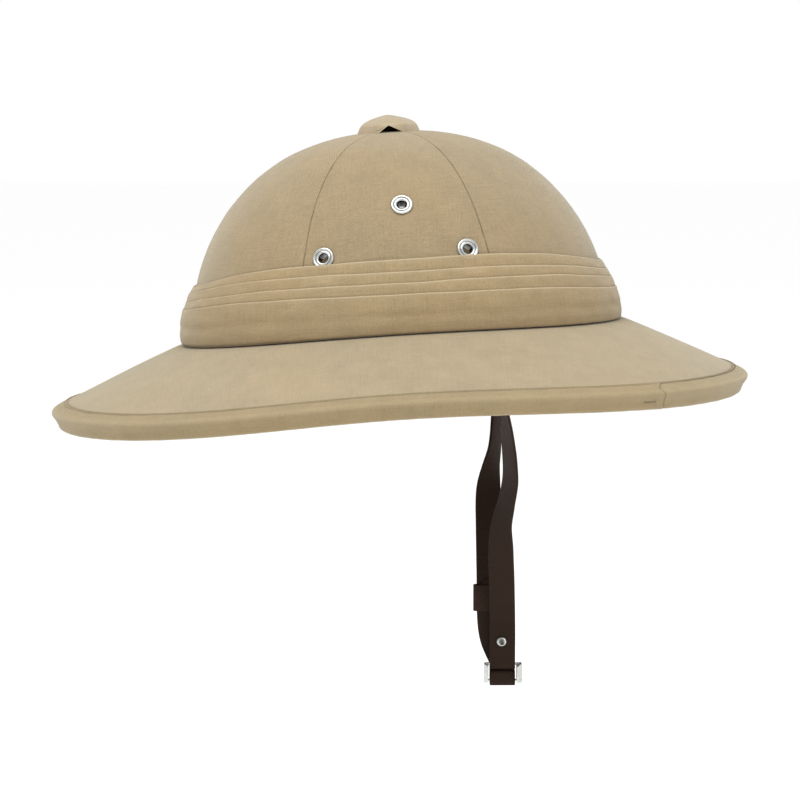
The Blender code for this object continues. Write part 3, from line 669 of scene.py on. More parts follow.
def bindingRows():
    proud = form["layer"] - form["gap"] - bindingLook["cloth"]
    lower = form["under"] + form["gap"]
    low = lower + bindingLook["cloth"]
    corner = bindingLook["corner"]
    rows = []
    for step, reach in enumerate(spread(hemShare + 0.0015, 0.952, 12)):
        sink = bindingLook["hemSink"] * math.exp(-step / 1.3)
        rows.append((reach, proud + sink, 0.0, 0.0))
    for turn in spread(0, 90, 8):
        angle = math.radians(turn)
        bead = bindingLook["bead"] * math.sin(angle * 2)
        rows.append((1.0, proud + corner * (1 - math.cos(angle)) - bead * 0.6,
                     corner * (1 - math.sin(angle)) - bead, 0.5 * math.sin(2 * angle)))
    for share in spread(0.0, 1.0, 7)[1:-1]:
        rows.append((1.0, between(proud + corner, low - corner, share),
                     bindingLook["hollow"] * math.sin(math.pi * share), 0.0))
    for turn in spread(90, 0, 8):
        angle = math.radians(turn)
        bead = bindingLook["bead"] * 0.7 * math.sin(angle * 2)
        rows.append((1.0, low - corner * (1 - math.cos(angle)) + bead * 0.5,
                     corner * (1 - math.sin(angle)) - bead, 0.3 * math.sin(2 * angle)))
    for step, reach in enumerate(spread(0.952, hemShare + 0.0015, 12)):
        sink = bindingLook["hemSink"] * math.exp(-(11 - step) / 1.3)
        rows.append((reach, low - sink, 0.0, 0.0 if step < 11 else -0.6))
    for reach in spread(hemShare + 0.0015, 0.95, 5):
        rows.append((reach, lower, 0.0, 0.0))
    for depth in (lower - 0.0006, proud + bindingLook["cloth"] + 0.0006):
        rows.append((1.0, depth, bindingLook["cloth"], 0.0))
    for reach in spread(0.95, hemShare + 0.0015, 5):
        rows.append((reach, proud + bindingLook["cloth"], 0.0, 0.0))
    return rows


def makeBinding():
    rows = bindingRows()
    joint = math.radians(bindingLook["joint"])
    outer, top, bottom = 45, 12, 33

    def fromJoint(azimuth, row):
        # metres along the rim; the joint's ends at the hem and at the foot lie further forward than its bend
        turn = (azimuth - joint + math.pi) % math.tau - math.pi
        if row < top:
            lean = between(bindingLook["leanHem"], bindingLook["leanBend"], row / top)
        else:
            down = min((row - top) / (bottom - top), 1.0)
            lean = between(bindingLook["leanBend"], bindingLook["leanFoot"], down)
        return turn * 0.160 - lean

    def place(azimuth, row):
        reach, depth, back, mark = rows[row]
        ride = fromJoint(azimuth, row)
        if row < outer:
            sink = bindingLook["jointSink"] * math.exp(-(ride / bindingLook["jointWidth"]) ** 2)
            lap = 0.00035 * smoothStep(0.5 - ride / 0.0008) * math.exp(min(ride, 0.0) / 0.006)
            uneven = 0.00016 * noise.noise(Vector((azimuth * 26, row * 0.13, 0.0)))
            shift = sink - lap + uneven
            if reach < 1.0 and row < 20:
                depth += shift
            elif reach < 1.0:
                depth -= shift
            else:
                back += shift
        radius, height = brimPoint(azimuth, reach, depth, back)
        return ringPoint(azimuth, radius, height)

    def lay(azimuth, row):
        return azimuth * 0.160, row * 0.0009

    def shade(azimuth, row):
        # lighter bends where the strip turns over the rim: wear with painted highlight; painted shade in the
        # hem's fold underneath; a dark line along the joint and a short dark tick on the outer face
        mark = rows[row][3] * 0.6
        ride = fromJoint(azimuth, row)
        if row < outer and abs(ride) < 0.003:
            mark -= 0.85 * math.exp(-(ride / 0.00036) ** 2)
        if row == bindingLook["tickRow"] and bindingLook["tickFrom"] < ride < bindingLook["tickTo"]:
            mark = -0.9
        return mark

    shape = latheShape(len(rows), bindingLook["steps"], place, lay, shade, first=joint,
                       crowd=bindingLook["crowd"])
    return finishPiece("brimBinding", shape, edgeCloth, ["brim_binding"])


makeBinding()
print("stage: binding")

# Pleated band: lapped folds, each one's upper edge catching the light
bandLook = {"steps": 264, "endHeight": 0.0260, "sideHeight": 0.0345, "pinch": 5.0, "stand": 0.0054,
            "innerGap": 0.0003, "lip": 0.012, "crease": 0.022, "waver": 0.010, "fade": 0.55}
# Each fold line's rise, its slope and bow against the cosine of the azimuth, and the stand above and below it
bandFolds = [
    {"rise": 0.993, "slope": 0.007, "bow": 0.085, "above": 0.05, "below": 0.24},
    {"rise": 0.830, "slope": -0.018, "bow": 0.110, "above": 0.36, "below": 0.46},
    {"rise": 0.682, "slope": -0.010, "bow": 0.108, "above": 0.56, "below": 0.66},
    {"rise": 0.532, "slope": -0.040, "bow": 0.090, "above": 0.76, "below": 0.88},
]
bandFoot = {"rise": 0.008, "slope": -0.013, "bow": 0.006}


def bandHeight(azimuth):
    middle = 1 - abs(math.cos(azimuth)) ** bandLook["pinch"]
    return between(bandLook["endHeight"], bandLook["sideHeight"], middle)


def bandRows():
    # fold number, offset below its line as a share of the band, stand as a share, and a mark: painted crease
    # shade below 0, painted highlight on the lit lip above 0
    rows = []
    lip = bandLook["lip"]
    for index, fold in enumerate(bandFolds):
        above, below = fold["above"], fold["below"]
        if index:
            rows.append((index, lip * 1.9, above, 0.0))
            rows.append((index, lip * 0.9, above - bandLook["crease"] * 0.4, -0.10))
            rows.append((index, lip * 0.2, above - bandLook["crease"], -0.30))
        for turn in spread(15, 90, 6):
            angle = math.radians(turn)
            rows.append((index, -lip * 1.15 * (1 - math.cos(angle)), between(above, below, math.sin(angle)),
                         math.sin(angle * 1.6) if turn > 20 else -0.1))
        rows.append((index, -lip * 2.2, below - 0.004, 0.25))
        following = bandFolds[index + 1] if index + 1 < len(bandFolds) else {"rise": 0.0, "above": 1.0}
        span = fold["rise"] - following["rise"]
        if index < len(bandFolds) - 1:
            for share in (0.35, 0.5, 0.65, 0.8):
                rows.append((index + share, 0.0, between(below, following["above"], share)
                             + 0.014 * math.sin(math.pi * share), 0.0))
        else:
            for share in spread(0.10, 0.97, 16):
                belly = readTable([(0.0, 0.89), (0.35, 1.0), (0.52, 0.97), (0.75, 1.03), (1.0, 0.93)], share)
                rows.append((index + share, 0.0, belly, 0.0))
            # painted shade where the band's foot tucks into the brim
            rows.append((index + 1.0, 0.002, 0.88, -0.10))
            rows.append((index + 1.0, 0.001, 0.80, -0.35))
            rows.append((-1, -0.004, 0.74, -0.45))
    for rise in (0.0, 0.2, 0.4, 0.6, 0.8, 0.97):
        rows.append((-1, rise, 0.0, 0.0))
    return rows


def lineAt(line, azimuth):
    ahead = math.cos(azimuth)
    return line["rise"] + line["slope"] * ahead + line["bow"] * ahead ** 2


def foldLine(index, azimuth):
    waver = noise.noise(Vector((math.cos(azimuth) * 4, math.sin(azimuth) * 4, index * 9.0)))
    return lineAt(bandFolds[index], azimuth) + bandLook["waver"] * waver


def bandPlace(azimuth, level, stand):
    height = baseHeight(azimuth) + form["gap"] + bandHeight(azimuth) * level
    radius = crownSection(azimuth, riseAtHeight(height - baseHeight(azimuth)))[0]
    return ringPoint(azimuth, radius + bandLook["innerGap"] + bandLook["stand"] * stand, height)


def makeBand():
    rows = bandRows()

    def level(azimuth, place, offset):
        if place < 0:
            return offset
        whole = int(place)
        if place == whole and whole < len(bandFolds):
            return foldLine(whole, azimuth) + offset
        if whole >= len(bandFolds):
            return lineAt(bandFoot, azimuth) + offset
        low = foldLine(whole + 1, azimuth) if whole + 1 < len(bandFolds) else lineAt(bandFoot, azimuth)
        start = foldLine(whole, azimuth)
        top = start - bandLook["lip"] * 2.2
        bottom = low + (bandLook["lip"] * 1.9 if whole + 1 < len(bandFolds) else 0.0)
        return between(top, bottom, place - whole) + offset

    def place(azimuth, row):
        where, offset, stand, mark = rows[row]
        rise = level(azimuth, where, offset)
        if where >= 0 and stand > 0.2:
            loose = Vector((azimuth * 6.5, rise * 5.0, 2.0))
            fine = Vector((azimuth * 17, rise * 9.0, 5.0))
            calm = smoothStep(rise / 0.2)
            stand += (0.065 * noise.noise(loose) + 0.022 * noise.noise(fine)) * (0.35 + 0.65 * calm)
        for _, part, around, _ in eyeletPlaces():
            if part != "top" and stand > 0.1 and rise > 0.7:
                distance = abs((azimuth - around + math.pi) % math.tau - math.pi) * 0.088
                stand = between(stand, min(stand, 0.10), smoothStep((0.0075 - distance) / 0.004)
                                * smoothStep((rise - 0.74) / 0.12))
        return bandPlace(azimuth, rise, stand)

    def lay(azimuth, row):
        where, offset, stand, mark = rows[int(row) % len(rows)]
        return azimuth * 0.1, level(azimuth, where, offset) * 0.034 + stand * 0.004

    def shade(azimuth, row):
        mark = rows[row][3]
        if mark > 0:
            mark *= 0.7 + 0.5 * noise.noise(Vector((azimuth * 22, row * 1.0, 0.0)))
        # the painted crease shade and lip highlight fade toward the back
        return mark * (1 - bandLook["fade"] * smoothStep((-math.cos(azimuth) - 0.45) / 0.4))

    shape = latheShape(len(rows), bandLook["steps"], place, lay, shade)
    return finishPiece("pleatedBand", shape, bandCloth, ["puggaree"])


makeBand()
print("stage: band")

# Ventilator cap, with an arched mouth on the near side
capLook = {"steps": 144, "radius": 0.0153, "height": 0.0083, "wall": 0.0011, "archHeight": 0.0036,
           "archLeft": -0.0042, "archRight": 0.0068, "archPeak": 0.0004, "archPout": 0.0004, "flap": 0.0016,
           "welt": 0.00055, "weltTop": 0.16, "footDrop": 0.0002, "waver": 0.0022, "facet": 0.00022}
capSection = [(0.0, 1.00, 0.0), (0.25, 0.945, 0.24), (0.48, 0.865, 0.47), (0.60, 0.76, 0.62),
              (0.75, 0.56, 0.785), (0.90, 0.26, 0.935), (0.97, 0.09, 0.995), (1.0, 0.0, 1.0)]


def makeCap():
    outer = [(share, 0.0) for share in spread(0.0, 1.0, 26)]
    inner = [(share, 1.0) for share in spread(1.0, 0.0, 20)]
    rows = outer + inner

    def onFlap(x):
        # the turned edge of the cloth, left of the arch
        return capLook["archLeft"] - capLook["flap"] < x < capLook["archPeak"]

    def footHeight(azimuth, radius):
        share = radius / superellipse(azimuth, form["crownLength"], form["crownWidth"], form["crownPlan"])
        return crownSection(azimuth, riseAtRadius(min(share, 1.0)))[1]

    def place(azimuth, row):
        share, inside = rows[row]
        wall = capLook["wall"] * inside
        radius = (capLook["radius"] - wall) * readTable(capSection, share, 1)
        height = (capLook["height"] - wall) * readTable(capSection, share, 2)
        foot = footHeight(azimuth, capLook["radius"]) - capLook["footDrop"]
        level = footHeight(math.pi / 2, capLook["radius"])
        settle = (1 - share) ** 2
        point = ringPoint(azimuth, radius, between(level, foot, settle) + height)
        if math.sin(azimuth) < 0:
            peak, x = capLook["archPeak"], point.x
            end = capLook["archLeft"] if x < peak else capLook["archRight"]
            arch = max(1 - abs(x - peak) / abs(end - peak), 0.0)
            lower = max(1 - share / 0.5, 0.0)
            point.z += capLook["archHeight"] * arch ** 0.85 * lower
            point.y -= capLook["archPout"] * arch * lower
            if onFlap(x) and not inside:
                point.y -= capLook["welt"] * smoothStep((capLook["weltTop"] - share) / 0.05)
        waver = capLook["waver"] * noise.noise(ringPoint(azimuth, 2.6, share * 2))
        facet = capLook["facet"] * math.cos(7 * azimuth + 0.6) * math.sin(math.pi * share)
        return point * (1 + waver) + ringPoint(azimuth, 1.0, 0.6) * facet

    def lay(azimuth, row):
        share = rows[int(row) % len(rows)][0]
        radius = capLook["radius"] * readTable(capSection, share, 1)
        return radius * math.cos(azimuth), radius * math.sin(azimuth) + share * 0.001

    def shade(azimuth, row):
        share, inside = rows[row]
        # painted shade over the inside face seen through the arch and in the crease above the turned edge; a
        # lighter ring round the shoulder
        if inside:
            return -0.85
        x = capLook["radius"] * math.cos(azimuth)
        if abs(share - capLook["weltTop"]) < 0.021 and math.sin(azimuth) < 0 and onFlap(x):
            return -0.8
        return 0.35 * math.exp(-((share - 0.50) / 0.05) ** 2)

    shape = latheShape(len(rows), capLook["steps"], place, lay, shade, first=-math.pi / 2, crowd=0.6)
    bmesh.ops.remove_doubles(shape, verts=shape.verts, dist=0.00001)
    return finishPiece("ventCap", shape, litCapCloth, ["vent_cap"])


makeCap()
print("stage: cap")


# Turned metal: a profile spun round its own axis, then put in place
def turnedPiece(name, profile, place, steps, nodes, marks=None, sharp=50):
    shape = bmesh.new()
    shape.verts.layers.float.new("fold")
    closed = profile[0][0] > 0
    spinLine(shape, [(radius, 0, height) for radius, height in profile], closed, steps, marks, 0.000002)
    bmesh.ops.transform(shape, matrix=place, verts=shape.verts)
    return finishPiece(name, shape, nickelPlate, nodes, sharp)


eyeletFace = [   # radius and height in millimetres from the rim to the hole, then how much painted shade and grime
    (5.00, 0.00, -0.6), (5.15, 0.28, -0.3), (5.08, 0.58, 0.0), (4.82, 0.86, 0.0), (4.45, 0.96, 0.0),
    (4.08, 0.86, 0.0), (3.84, 0.64, -0.3), (3.66, 0.52, -0.8), (3.48, 0.60, -0.4), (3.24, 0.76, 0.0),
    (2.94, 0.80, 0.0), (2.66, 0.68, 0.0), (2.38, 0.42, -0.2), (2.20, 0.05, -0.8), (2.12, -0.40, -1.0),
    (2.10, -2.00, -1.0), (2.10, -4.50, -1.0),
]


def makeEyelet(sideName, part, azimuth, rise):
    hole, flange, seat = eyelet["hole"], eyelet["flange"], eyelet["seat"]
    barrel = hole + eyelet["wall"]
    depth = form["layer"] + form["shellWall"] + 0.0006
    profile = [(radius / 1000, seat + height / 1000) for radius, height, shadeAndGrime in eyeletFace]
    marks = [shadeAndGrime for radius, height, shadeAndGrime in eyeletFace]
    for radius, down in ((hole + 0.0002, depth + 0.0004), (barrel + 0.0008, depth + 0.0005),
                         (barrel + 0.0011, depth + 0.0002), (barrel + 0.0008, depth)):
        profile.append((radius, seat - down))
        marks.append(0.0)
    for radius, down in ((barrel, depth), (barrel, 0.0)):
        profile.append((radius, seat - down))
        marks.append(0.0)
    profile.append((flange - 0.0006, seat))
    marks.append(-0.5)
    place = tilt @ axisMatrix(crownPoint(azimuth, rise) - crownNormal(azimuth, rise) * 0.0002,
                              crownNormal(azimuth, rise))
    name = "eyelet" + sideName.capitalize() + part.capitalize()
    return turnedPiece(name, profile, place, 56, ["eyelet_" + sideName + "_" + part], marks, 60)


for sideName, part, azimuth, rise in eyeletPlaces():
    makeEyelet(sideName, part, azimuth, rise)
print("stage: eyelets")

# Chin strap: two leather strips that hang plumb, turn round the buckle's bars and come back up
strap = {"width": 0.0125, "leather": 0.0014, "seat": 0.0012, "forward": 0.0500, "anchor": 0.0120,
         "start": -0.0040, "buckleTop": -0.1645, "tabLength": 0.0201, "tailPast": 0.0024, "taper": 0.0060,
         "keeperTop": 0.0381, "keeperHeight": 0.0130, "edge": 0.00042, "bar": 0.0012, "buckleHeight": 0.0095,
         "rough": 0.0001, "studRise": 0.0108, "studBack": 0.0005}
# Each hang: share of the fall, offset forward in strap widths, turn in degrees
nearHang = [(0.00, -0.04, 154), (0.05, -0.03, 145), (0.12, -0.02, 108), (0.24, 0.04, 73), (0.40, 0.21, 62),
            (0.49, 0.07, 57), (0.56, -0.09, 44), (0.64, -0.10, 18),
            (0.76, -0.04, 0), (0.88, 0.0, 0), (1.0, 0.0, 0)]
farHang = [(0.00, -0.04, 154), (0.05, -0.05, 145), (0.12, -0.06, 108), (0.24, -0.12, 72), (0.36, -0.25, 64),
           (0.42, -0.40, 48), (0.49, -0.53, 16), (0.58, -0.54, 0), (0.74, -0.52, 0), (0.86, -0.50, 0),
           (0.93, -0.38, 0), (1.0, 0.0, 0)]
strap["fall"] = strap["buckleTop"] - strap["start"]
strap["leg"] = strap["bar"] / 2 + form["gap"] + strap["leather"] / 2
strap["tail"] = strap["leg"] + strap["leather"] + 2 * form["gap"] + 0.0006
strap["standing"] = strap["tail"] + strap["leather"] + form["gap"]
keeperTop = strap["buckleTop"] + strap["keeperTop"]
keeperBottom = keeperTop - strap["keeperHeight"]
tailTop = keeperTop + strap["tailPast"]
tabTop = strap["buckleTop"] + strap["tabLength"]


def anchorFrame(side, height):
    inset = form["layer"] + form["shellWall"]
    azimuth = math.radians(60)
    for _ in range(20):
        azimuth = math.acos(min(strap["forward"] / crownSection(azimuth, 0, inset)[0], 1.0))
    azimuth, rise = side * azimuth, riseAtHeight(height)
    normal = crownNormal(azimuth, rise, inset)
    place = crownPoint(azimuth, rise, inset) - normal * (strap["seat"] + strap["leather"] / 2)
    return tilt @ place, tilt.to_3x3() @ normal


def hangStation(side, hang, share, height, across):
    turn = math.radians(readTable(hang, share, 2))
    direction = Vector((math.cos(turn), side * math.sin(turn), 0.0))
    return Vector((strap["forward"] + strap["width"] * readTable(hang, share, 1), across, height)), direction


def roundRoute(corners, radius, steps=9):
    route = [Vector(corners[0])]
    for before, corner, after in zip(corners, corners[1:], corners[2:]):
        corner = Vector(corner)
        toward, onward = (Vector(before) - corner).normalized(), (Vector(after) - corner).normalized()
        half = toward.angle(onward) / 2
        middle = corner + (toward + onward).normalized() * (radius / math.sin(half))
        start = corner + toward * radius / math.tan(half) - middle
        turn = start.angle_signed(corner + onward * radius / math.tan(half) - middle)
        for step in range(steps + 1):
            route.append(middle + Matrix.Rotation(-turn * step / steps, 2) @ start)
    route.append(Vector(corners[-1]))
    dense = [route[0]]
    for here, there in zip(route, route[1:]):   # long runs get steps of their own
        count = max(int((there - here).length / 0.0020), 1)
        dense += [here.lerp(there, step / count) for step in range(1, count + 1)]
    return dense


def strapStations(side, hang, footOffset, straightFrom, lowerRoute):
    top, topNormal = anchorFrame(side, strap["anchor"])
    foot, _ = anchorFrame(side, form["sideRise"])
    down = (foot - top).normalized()
    acrossWall = down.cross(topNormal).normalized()
    if acrossWall.x > 0:
        acrossWall = -acrossWall
    alongWall = spread(-strap["width"] / 2, (foot - top).length, 8)
    stations = [(top + down * reach, acrossWall) for reach in alongWall]
    straight = (straightFrom - strap["start"]) / strap["fall"]
    steps = 84
    for step in range(1, steps + 1):
        share = straight * step / steps
        across = between(abs(footOffset), abs(foot.y), (1 - step / steps) ** 1.3)
        stations.append(hangStation(side, hang, share, strap["start"] + strap["fall"] * share, side * across))
    for spot in lowerRoute:
        share = min(max((spot.y - strap["start"]) / strap["fall"], 0.0), 1.0)
        stations.append(hangStation(side, hang, share, spot.y, spot.x))
    return stations


def makeStrap(name, stations, node, taper=0.0):
    places = [place for place, across in stations]
    lengths = [0.0]
    for here, there in zip(places, places[1:]):
        lengths.append(lengths[-1] + (there - here).length)
    sides, edge = 24, strap["edge"]
    shape = bmesh.new()
    clothMap, paintedLightWearAndGrimeMark = clothLayers(shape)
    bmesh.ops.create_circle(shape, segments=sides, radius=1.0)
    ring = list(shape.edges)
    for step in range(1, len(stations)):
        made = bmesh.ops.extrude_edge_only(shape, edges=ring)["geom"]
        ring = [part for part in made if isinstance(part, bmesh.types.BMEdge)
                and all(vert in made for vert in part.verts)]
        fresh = [part for part in made if isinstance(part, bmesh.types.BMVert)]
        bmesh.ops.translate(shape, vec=(0, 0, 1), verts=fresh)
    wides, thicks = [], []
    for index, (place, across) in enumerate(stations):
        along = (places[min(index + 1, len(places) - 1)] - places[max(index - 1, 0)]).normalized()
        wide = (across - along * across.dot(along)).normalized()
        wides.append(wide)
        thicks.append(along.cross(wide))
    lays = {}
    for vert in shape.verts:
        index = int(round(vert.co.z))
        turn = int(round((math.atan2(vert.co.y, vert.co.x) % math.tau) / math.tau * sides)) % sides
        corner, step = divmod(turn, sides // 4)
        angle = math.radians(90 * corner + 90 * step / (sides // 4 - 1))
        half = strap["width"] / 2
        fromTip = lengths[-1] - lengths[index]
        if fromTip < taper:
            half *= 0.35 + 0.65 * math.sqrt(fromTip / taper)
        quarter = math.radians(90 * corner + 45)
        right = math.copysign(half - edge, math.cos(quarter)) + edge * math.cos(angle)
        front = math.copysign(strap["leather"] / 2 - edge, math.sin(quarter)) + edge * math.sin(angle)
        rough = strap["rough"] * noise.noise(Vector((right * 300, lengths[index] * 90, front * 300)))
        # edges lighter: wear, with painted highlight along the bevel
        edgeWearAndHighlight = smoothStep((abs(right) - half + 0.0009) / 0.0006)
        vert[paintedLightWearAndGrimeMark] = edgeWearAndHighlight * (0.65 if abs(front) > 0.0002 else 1.0)
        lays[vert.index] = (right + (0.02 if front > 0 else 0.0), lengths[index])
        vert.co = places[index] + wides[index] * right + thicks[index] * (front + rough)
    layCloth(shape, clothMap, lays)
    bmesh.ops.holes_fill(shape, edges=[one for one in shape.edges if one.is_boundary], sides=0)
    return finishPiece(name, shape, strapLeather, [node], 60)


turnCentre = strap["buckleTop"] - strap["bar"]
leg = strap["leg"]
nearRoute = roundRoute([(-leg, tabTop - 0.001), (-leg, turnCentre - leg), (leg, turnCentre - leg),
                        (leg, tabTop)], leg * 0.995)
makeStrap("strapNear", strapStations(-1, nearHang, leg, tabTop, nearRoute), "strap_near")

crossing = turnCentre - leg - strap["leather"] - form["gap"]
loopBottom = strap["buckleTop"] - strap["buckleHeight"] - 2 * form["gap"] - strap["leather"] / 2
farRoute = roundRoute([(strap["standing"], keeperBottom), (strap["standing"], loopBottom), (-leg, loopBottom),
                       (-leg, crossing), (strap["tail"], crossing), (strap["tail"], tailTop)], leg * 0.80)
makeStrap("strapFar", strapStations(1, farHang, strap["standing"], tailTop, farRoute), "strap_far",
          strap["taper"])
print("stage: strap")

# Rivets on the inner wall, stud, keeper and buckle
for sideName, side, node in (("Near", -1, "strap_rivet_near"), ("Far", 1, "strap_rivet_far")):
    place, normal = anchorFrame(side, strap["anchor"])
    face = -(strap["leather"] / 2 + 0.0001)
    profile = [(0.0, face - 0.0010), (0.0018, face - 0.00095), (0.0030, face - 0.0007), (0.0038, face - 0.0003),
               (0.0040, face), (0.0016, face), (0.0016, 0.0040), (0.0, 0.0040)]
    turnedPiece("strapRivet" + sideName, profile, axisMatrix(place, normal), 40, [node])

studFace = leg + strap["leather"] / 2 + 0.0001
studProfile = [(0.0, -studFace - 0.00035), (0.0007, -studFace - 0.00035), (0.0010, -studFace - 0.0004),
               (0.0013, -studFace - 0.0008), (0.0017, -studFace - 0.0011), (0.0021, -studFace - 0.0010),
               (0.0024, -studFace - 0.0006), (0.0025, -studFace), (0.0011, -studFace), (0.0011, studFace),
               (0.0023, studFace), (0.0021, studFace + 0.0003), (0.0, studFace + 0.0003)]
# painted shade, with some grime, in the stud's hollow centre
studShadeAndGrime = [-0.9, -0.9, -0.7, -0.1, 0, 0, 0, -0.3, 0, 0, 0, 0, 0]
studCentre = (strap["forward"] - strap["studBack"], 0, strap["buckleTop"] + strap["studRise"])
turnedPiece("strapStud", studProfile, Matrix.Translation(studCentre) @ Matrix.Rotation(-math.pi / 2, 4, "X"),
            48, ["strap_stud"], studShadeAndGrime)


def makeKeeper():
    # a leather loop round both layers of the far half
    look = {"leather": 0.0011, "edge": 0.0004, "steps": 64, "fullness": 7.0, "bow": 0.00045, "room": 0.0003}
    share = (keeperTop - strap["keeperHeight"] / 2 - strap["start"]) / strap["fall"]
    middleX = strap["forward"] + strap["width"] * readTable(farHang, share, 1)
    front = strap["tail"] - strap["leather"] / 2 - look["room"]
    back = strap["standing"] + strap["leather"] / 2 + look["room"]
    halfX, halfY = strap["width"] / 2 + 0.0005, (back - front) / 2
    middle = Vector((middleX, (front + back) / 2, keeperBottom + strap["keeperHeight"] / 2))
    section = []   # outward, upward
    for cornerIndex in range(4):
        for step in range(4):
            angle = math.radians(90 * cornerIndex + 30 * step)
            quarter = math.radians(90 * cornerIndex + 45)
            outward = math.copysign(look["leather"] / 2 - look["edge"], math.cos(quarter))
            upward = math.copysign(strap["keeperHeight"] / 2 - look["edge"], math.sin(quarter))
            section.append((look["leather"] / 2 + outward + look["edge"] * math.cos(angle),
                            upward + look["edge"] * math.sin(angle)))
    shape = bmesh.new()
    spinLine(shape, [(1, 0, row) for row in range(len(section))], True, look["steps"])
    clothMap, paintedLightWearAndGrimeMark = clothLayers(shape)
    lays = {}
    for vert in shape.verts:
        angle, row = math.atan2(vert.co.y, vert.co.x), int(round(vert.co.z))
        outward, upward = section[row]
        radius = superellipse(angle, halfX + outward, halfY + outward, look["fullness"])
        bow = look["bow"] * math.cos(math.pi * upward / strap["keeperHeight"])
        lays[vert.index] = (angle * 0.006, upward)
        # lighter top and bottom edges: wear, with painted highlight
        vert[paintedLightWearAndGrimeMark] = smoothStep((abs(upward) - strap["keeperHeight"] / 2 + 0.0010) / 0.0008)
        vert.co = middle + Vector(((radius + bow) * math.cos(angle), (radius + bow * 0.4) * math.sin(angle),
                                   upward))
    layCloth(shape, clothMap, lays)
    return finishPiece("strapKeeper", shape, strapLeather, ["strap_keeper"], 60)


makeKeeper()

buckleLook = {"side": 0.0023, "flange": 0.0040, "sheet": 0.0006, "slope": 0.0017,
              "barRound": 0.00035, "edgeRound": 0.00016}


def makeBuckle():
    # two cross bars between side flanges of folded sheet
    top, bottom = strap["buckleTop"], strap["buckleTop"] - strap["buckleHeight"]
    inner = strap["width"] / 2 + 2 * form["gap"]
    half = inner + buckleLook["side"]
    shape = bmesh.new()
    shape.verts.layers.float.new("fold")
    for side in (-1, 1):
        # folded flange seen from above: back plate, outer wall, front lip
        path = [(inner, strap["bar"] / 2), (half - 0.0006, strap["bar"] / 2), (half, strap["bar"] / 2 - 0.0006),
                (half, -buckleLook["flange"] + 0.0009), (half - 0.0004, -buckleLook["flange"] + 0.0003),
                (half - 0.0010, -buckleLook["flange"]), (inner + 0.0001, -buckleLook["flange"] + 0.0002)]
        line = [shape.verts.new((strap["forward"] + side * x, y, bottom)) for x, y in path]
        edges = [shape.edges.new(pair) for pair in zip(line, line[1:])]
        made = bmesh.ops.extrude_edge_only(shape, edges=edges)["geom"]
        upper = [part for part in made if isinstance(part, bmesh.types.BMVert)]
        bmesh.ops.translate(shape, vec=(0, 0, top - bottom), verts=upper)
        faces = list({face for vert in upper for face in vert.link_faces})
        for vert in upper:
            if vert.co.y < -buckleLook["flange"] + 0.0005:
                share = (half - abs(vert.co.x - strap["forward"])) / (half - inner)
                vert.co.z -= buckleLook["slope"] * share
        bmesh.ops.recalc_face_normals(shape, faces=faces)
        bmesh.ops.solidify(shape, geom=faces, thickness=buckleLook["sheet"] * -side)
    for low in (bottom, top - strap["bar"]):
        place = Matrix.Translation((strap["forward"], 0, low + strap["bar"] / 2)) @ Matrix.Diagonal(
            (2 * half - 0.0012, strap["bar"], strap["bar"], 1))
        bar = bmesh.ops.create_cube(shape, size=1.0, matrix=place)["verts"]
        barEdges = list({edge for vert in bar for edge in vert.link_edges})
        bmesh.ops.bevel(shape, geom=barEdges, offset=buckleLook["barRound"], segments=3, affect="EDGES",
                        profile=0.5, material=-1)
    piece = finishPiece("strapBuckle", shape, nickelPlate, ["strap_buckle"], 40)
    bevel = piece.modifiers.new("roundedEdges", "BEVEL")
    bevel.width, bevel.segments = buckleLook["edgeRound"], 2
    bevel.limit_method, bevel.angle_limit = "ANGLE", math.radians(40)
    return piece


makeBuckle()
print("stage: strap fittings")

# Stitches round the hem: one thread above and one below, dipping into the cloth between stitches
stitchLook = {"count": 640, "dots": 6, "width": 0.00044, "height": 0.00030, "hem": 0.0010, "dip": 0.00056,
              "brimReach": 0.062}
stitchRise = [-1.0, -0.7, 0.75, 1.0, 0.75, -0.7]   # height at each dot, as a share of the dip


def makeStitches():
    depthTop = form["layer"] - form["gap"] - bindingLook["cloth"]
    depthLow = form["under"] + form["gap"] + bindingLook["cloth"]
    sides = 6
    steps = stitchLook["count"] * stitchLook["dots"]
    for name, depth, way in (("bindingStitchesTop", depthTop, -1), ("bindingStitchesUnder", depthLow, 1)):
        def place(azimuth, row):
            dot = int(round(azimuth / math.tau * steps)) % stitchLook["dots"]
            lift = stitchRise[dot] * stitchLook["dip"] * 0.5 - 0.00006
            thin = 0.75 + 0.25 * max(stitchRise[dot], 0.0)
            angle = math.tau * row / sides
            reach = hemShare + (stitchLook["hem"] + thin * stitchLook["width"] / 2 * math.cos(angle)) \
                / stitchLook["brimReach"]
            rise = lift + thin * stitchLook["height"] / 2 * math.sin(angle)
            radius, height = brimPoint(azimuth, reach, depth + way * rise)
            return ringPoint(azimuth, radius, height)

        def lay(azimuth, row):
            return azimuth * 0.16, row * 0.0002

        shape = latheShape(sides, steps, place, lay)
        finishPiece(name, shape, khakiThread, [])


makeStitches()
print("stage: stitches")

# Stage, light and camera
stageLook = {"floor": -0.300, "key": 24.0, "fill": 5.0, "backdrop": 1.0, "level": 0.74, "upward": 0.42,
             "behind": 0.24, "keyPlace": (-0.35, -0.75, 1.55), "fillPlace": (1.3, -1.3, 0.6),
             "photoScale": 0.0004906, "photoWidth": 800}


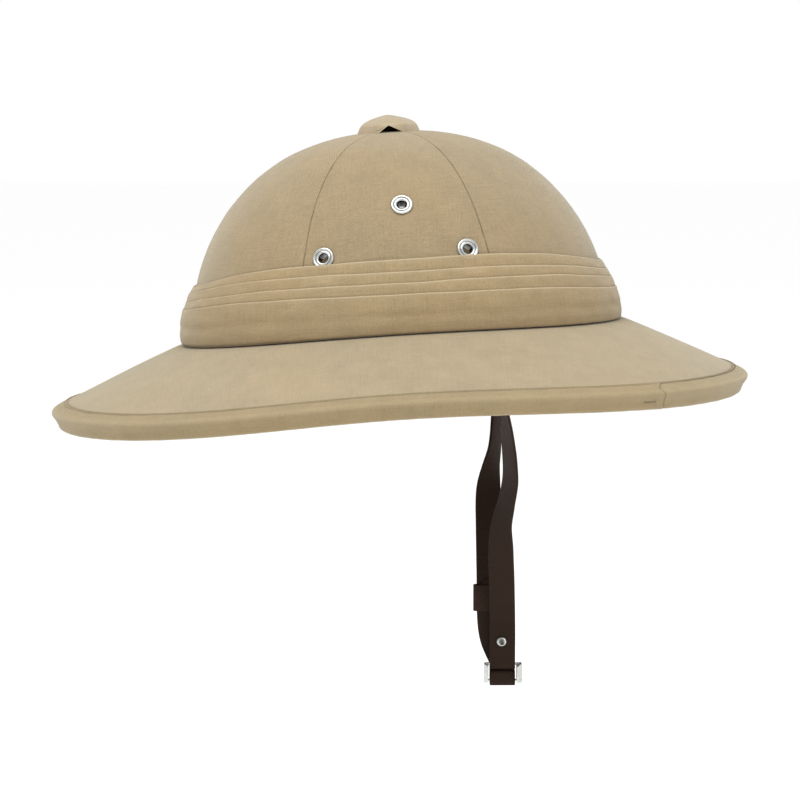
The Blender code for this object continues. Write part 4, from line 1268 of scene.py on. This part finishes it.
def makeStage():
    material, wire, shader = startMaterial("paleFloor")
    feed(material, shader, Base_Color=(0.96, 0.96, 0.96, 1.0), Roughness=0.9)
    shape = bmesh.new()
    bmesh.ops.create_grid(shape, x_segments=2, y_segments=2, size=14.0)
    bmesh.ops.translate(shape, vec=(0, 0, stageLook["floor"]), verts=shape.verts)
    mesh = bpy.data.meshes.new("paleFloor")
    shape.to_mesh(mesh)
    shape.free()
    mesh.materials.append(material)
    floor = bpy.data.objects.new("paleFloor", mesh)
    bpy.context.scene.collection.objects.link(floor)


def addLight(name, place, aim, size, power):
    light = bpy.data.lights.new(name, "AREA")
    light.shape, light.size, light.energy = "DISK", size, power
    made = bpy.data.objects.new(name, light)
    made.location = place
    made.rotation_euler = (Vector(aim) - Vector(place)).to_track_quat("-Z", "Y").to_euler()
    bpy.context.scene.collection.objects.link(made)


makeStage()
addLight("keyLight", stageLook["keyPlace"], (0, 0, 0.02), 1.5, stageLook["key"])
addLight("fillLight", stageLook["fillPlace"], (0, 0, 0.0), 1.4, stageLook["fill"])
world = bpy.data.worlds.new("softStudio")
world.use_nodes = True
sky = Wire(world.node_tree)
facing = sky.node("ShaderNodeSeparateXYZ", {}, {0: sky.node("ShaderNodeTexCoord")}, output=2)
behind = secondOutput(facing)
studio = facing * stageLook["upward"] + behind * stageLook["behind"] + stageLook["level"]
seen = sky.node("ShaderNodeLightPath")   # the camera itself sees a white backdrop
strength = seen * stageLook["backdrop"] + (1.0 - seen) * studio
world.node_tree.links.new(strength.socket, world.node_tree.nodes["Background"].inputs["Strength"])
world.node_tree.nodes["Background"].inputs["Color"].default_value = (1.0, 1.0, 1.0, 1.0)
bpy.context.scene.world = world
bpy.context.scene.view_settings.view_transform = "Standard"

cameraPlace, cameraAim = Vector((-0.0006, -1.6, 0.115)), Vector((-0.0006, 0.0, -0.0343))
cameraData = bpy.data.cameras.new("photoCamera")
cameraData.sensor_width = 36.0
photoSpan = stageLook["photoWidth"] * stageLook["photoScale"]   # what the photo's width spans at the aim
cameraData.lens = cameraData.sensor_width * (cameraAim - cameraPlace).length / photoSpan
camera = bpy.data.objects.new("photoCamera", cameraData)
camera.location = cameraPlace
camera.rotation_euler = (cameraAim - cameraPlace).to_track_quat("-Z", "Y").to_euler()
bpy.context.scene.collection.objects.link(camera)
bpy.context.scene.camera = camera
print("stage: lights and camera")
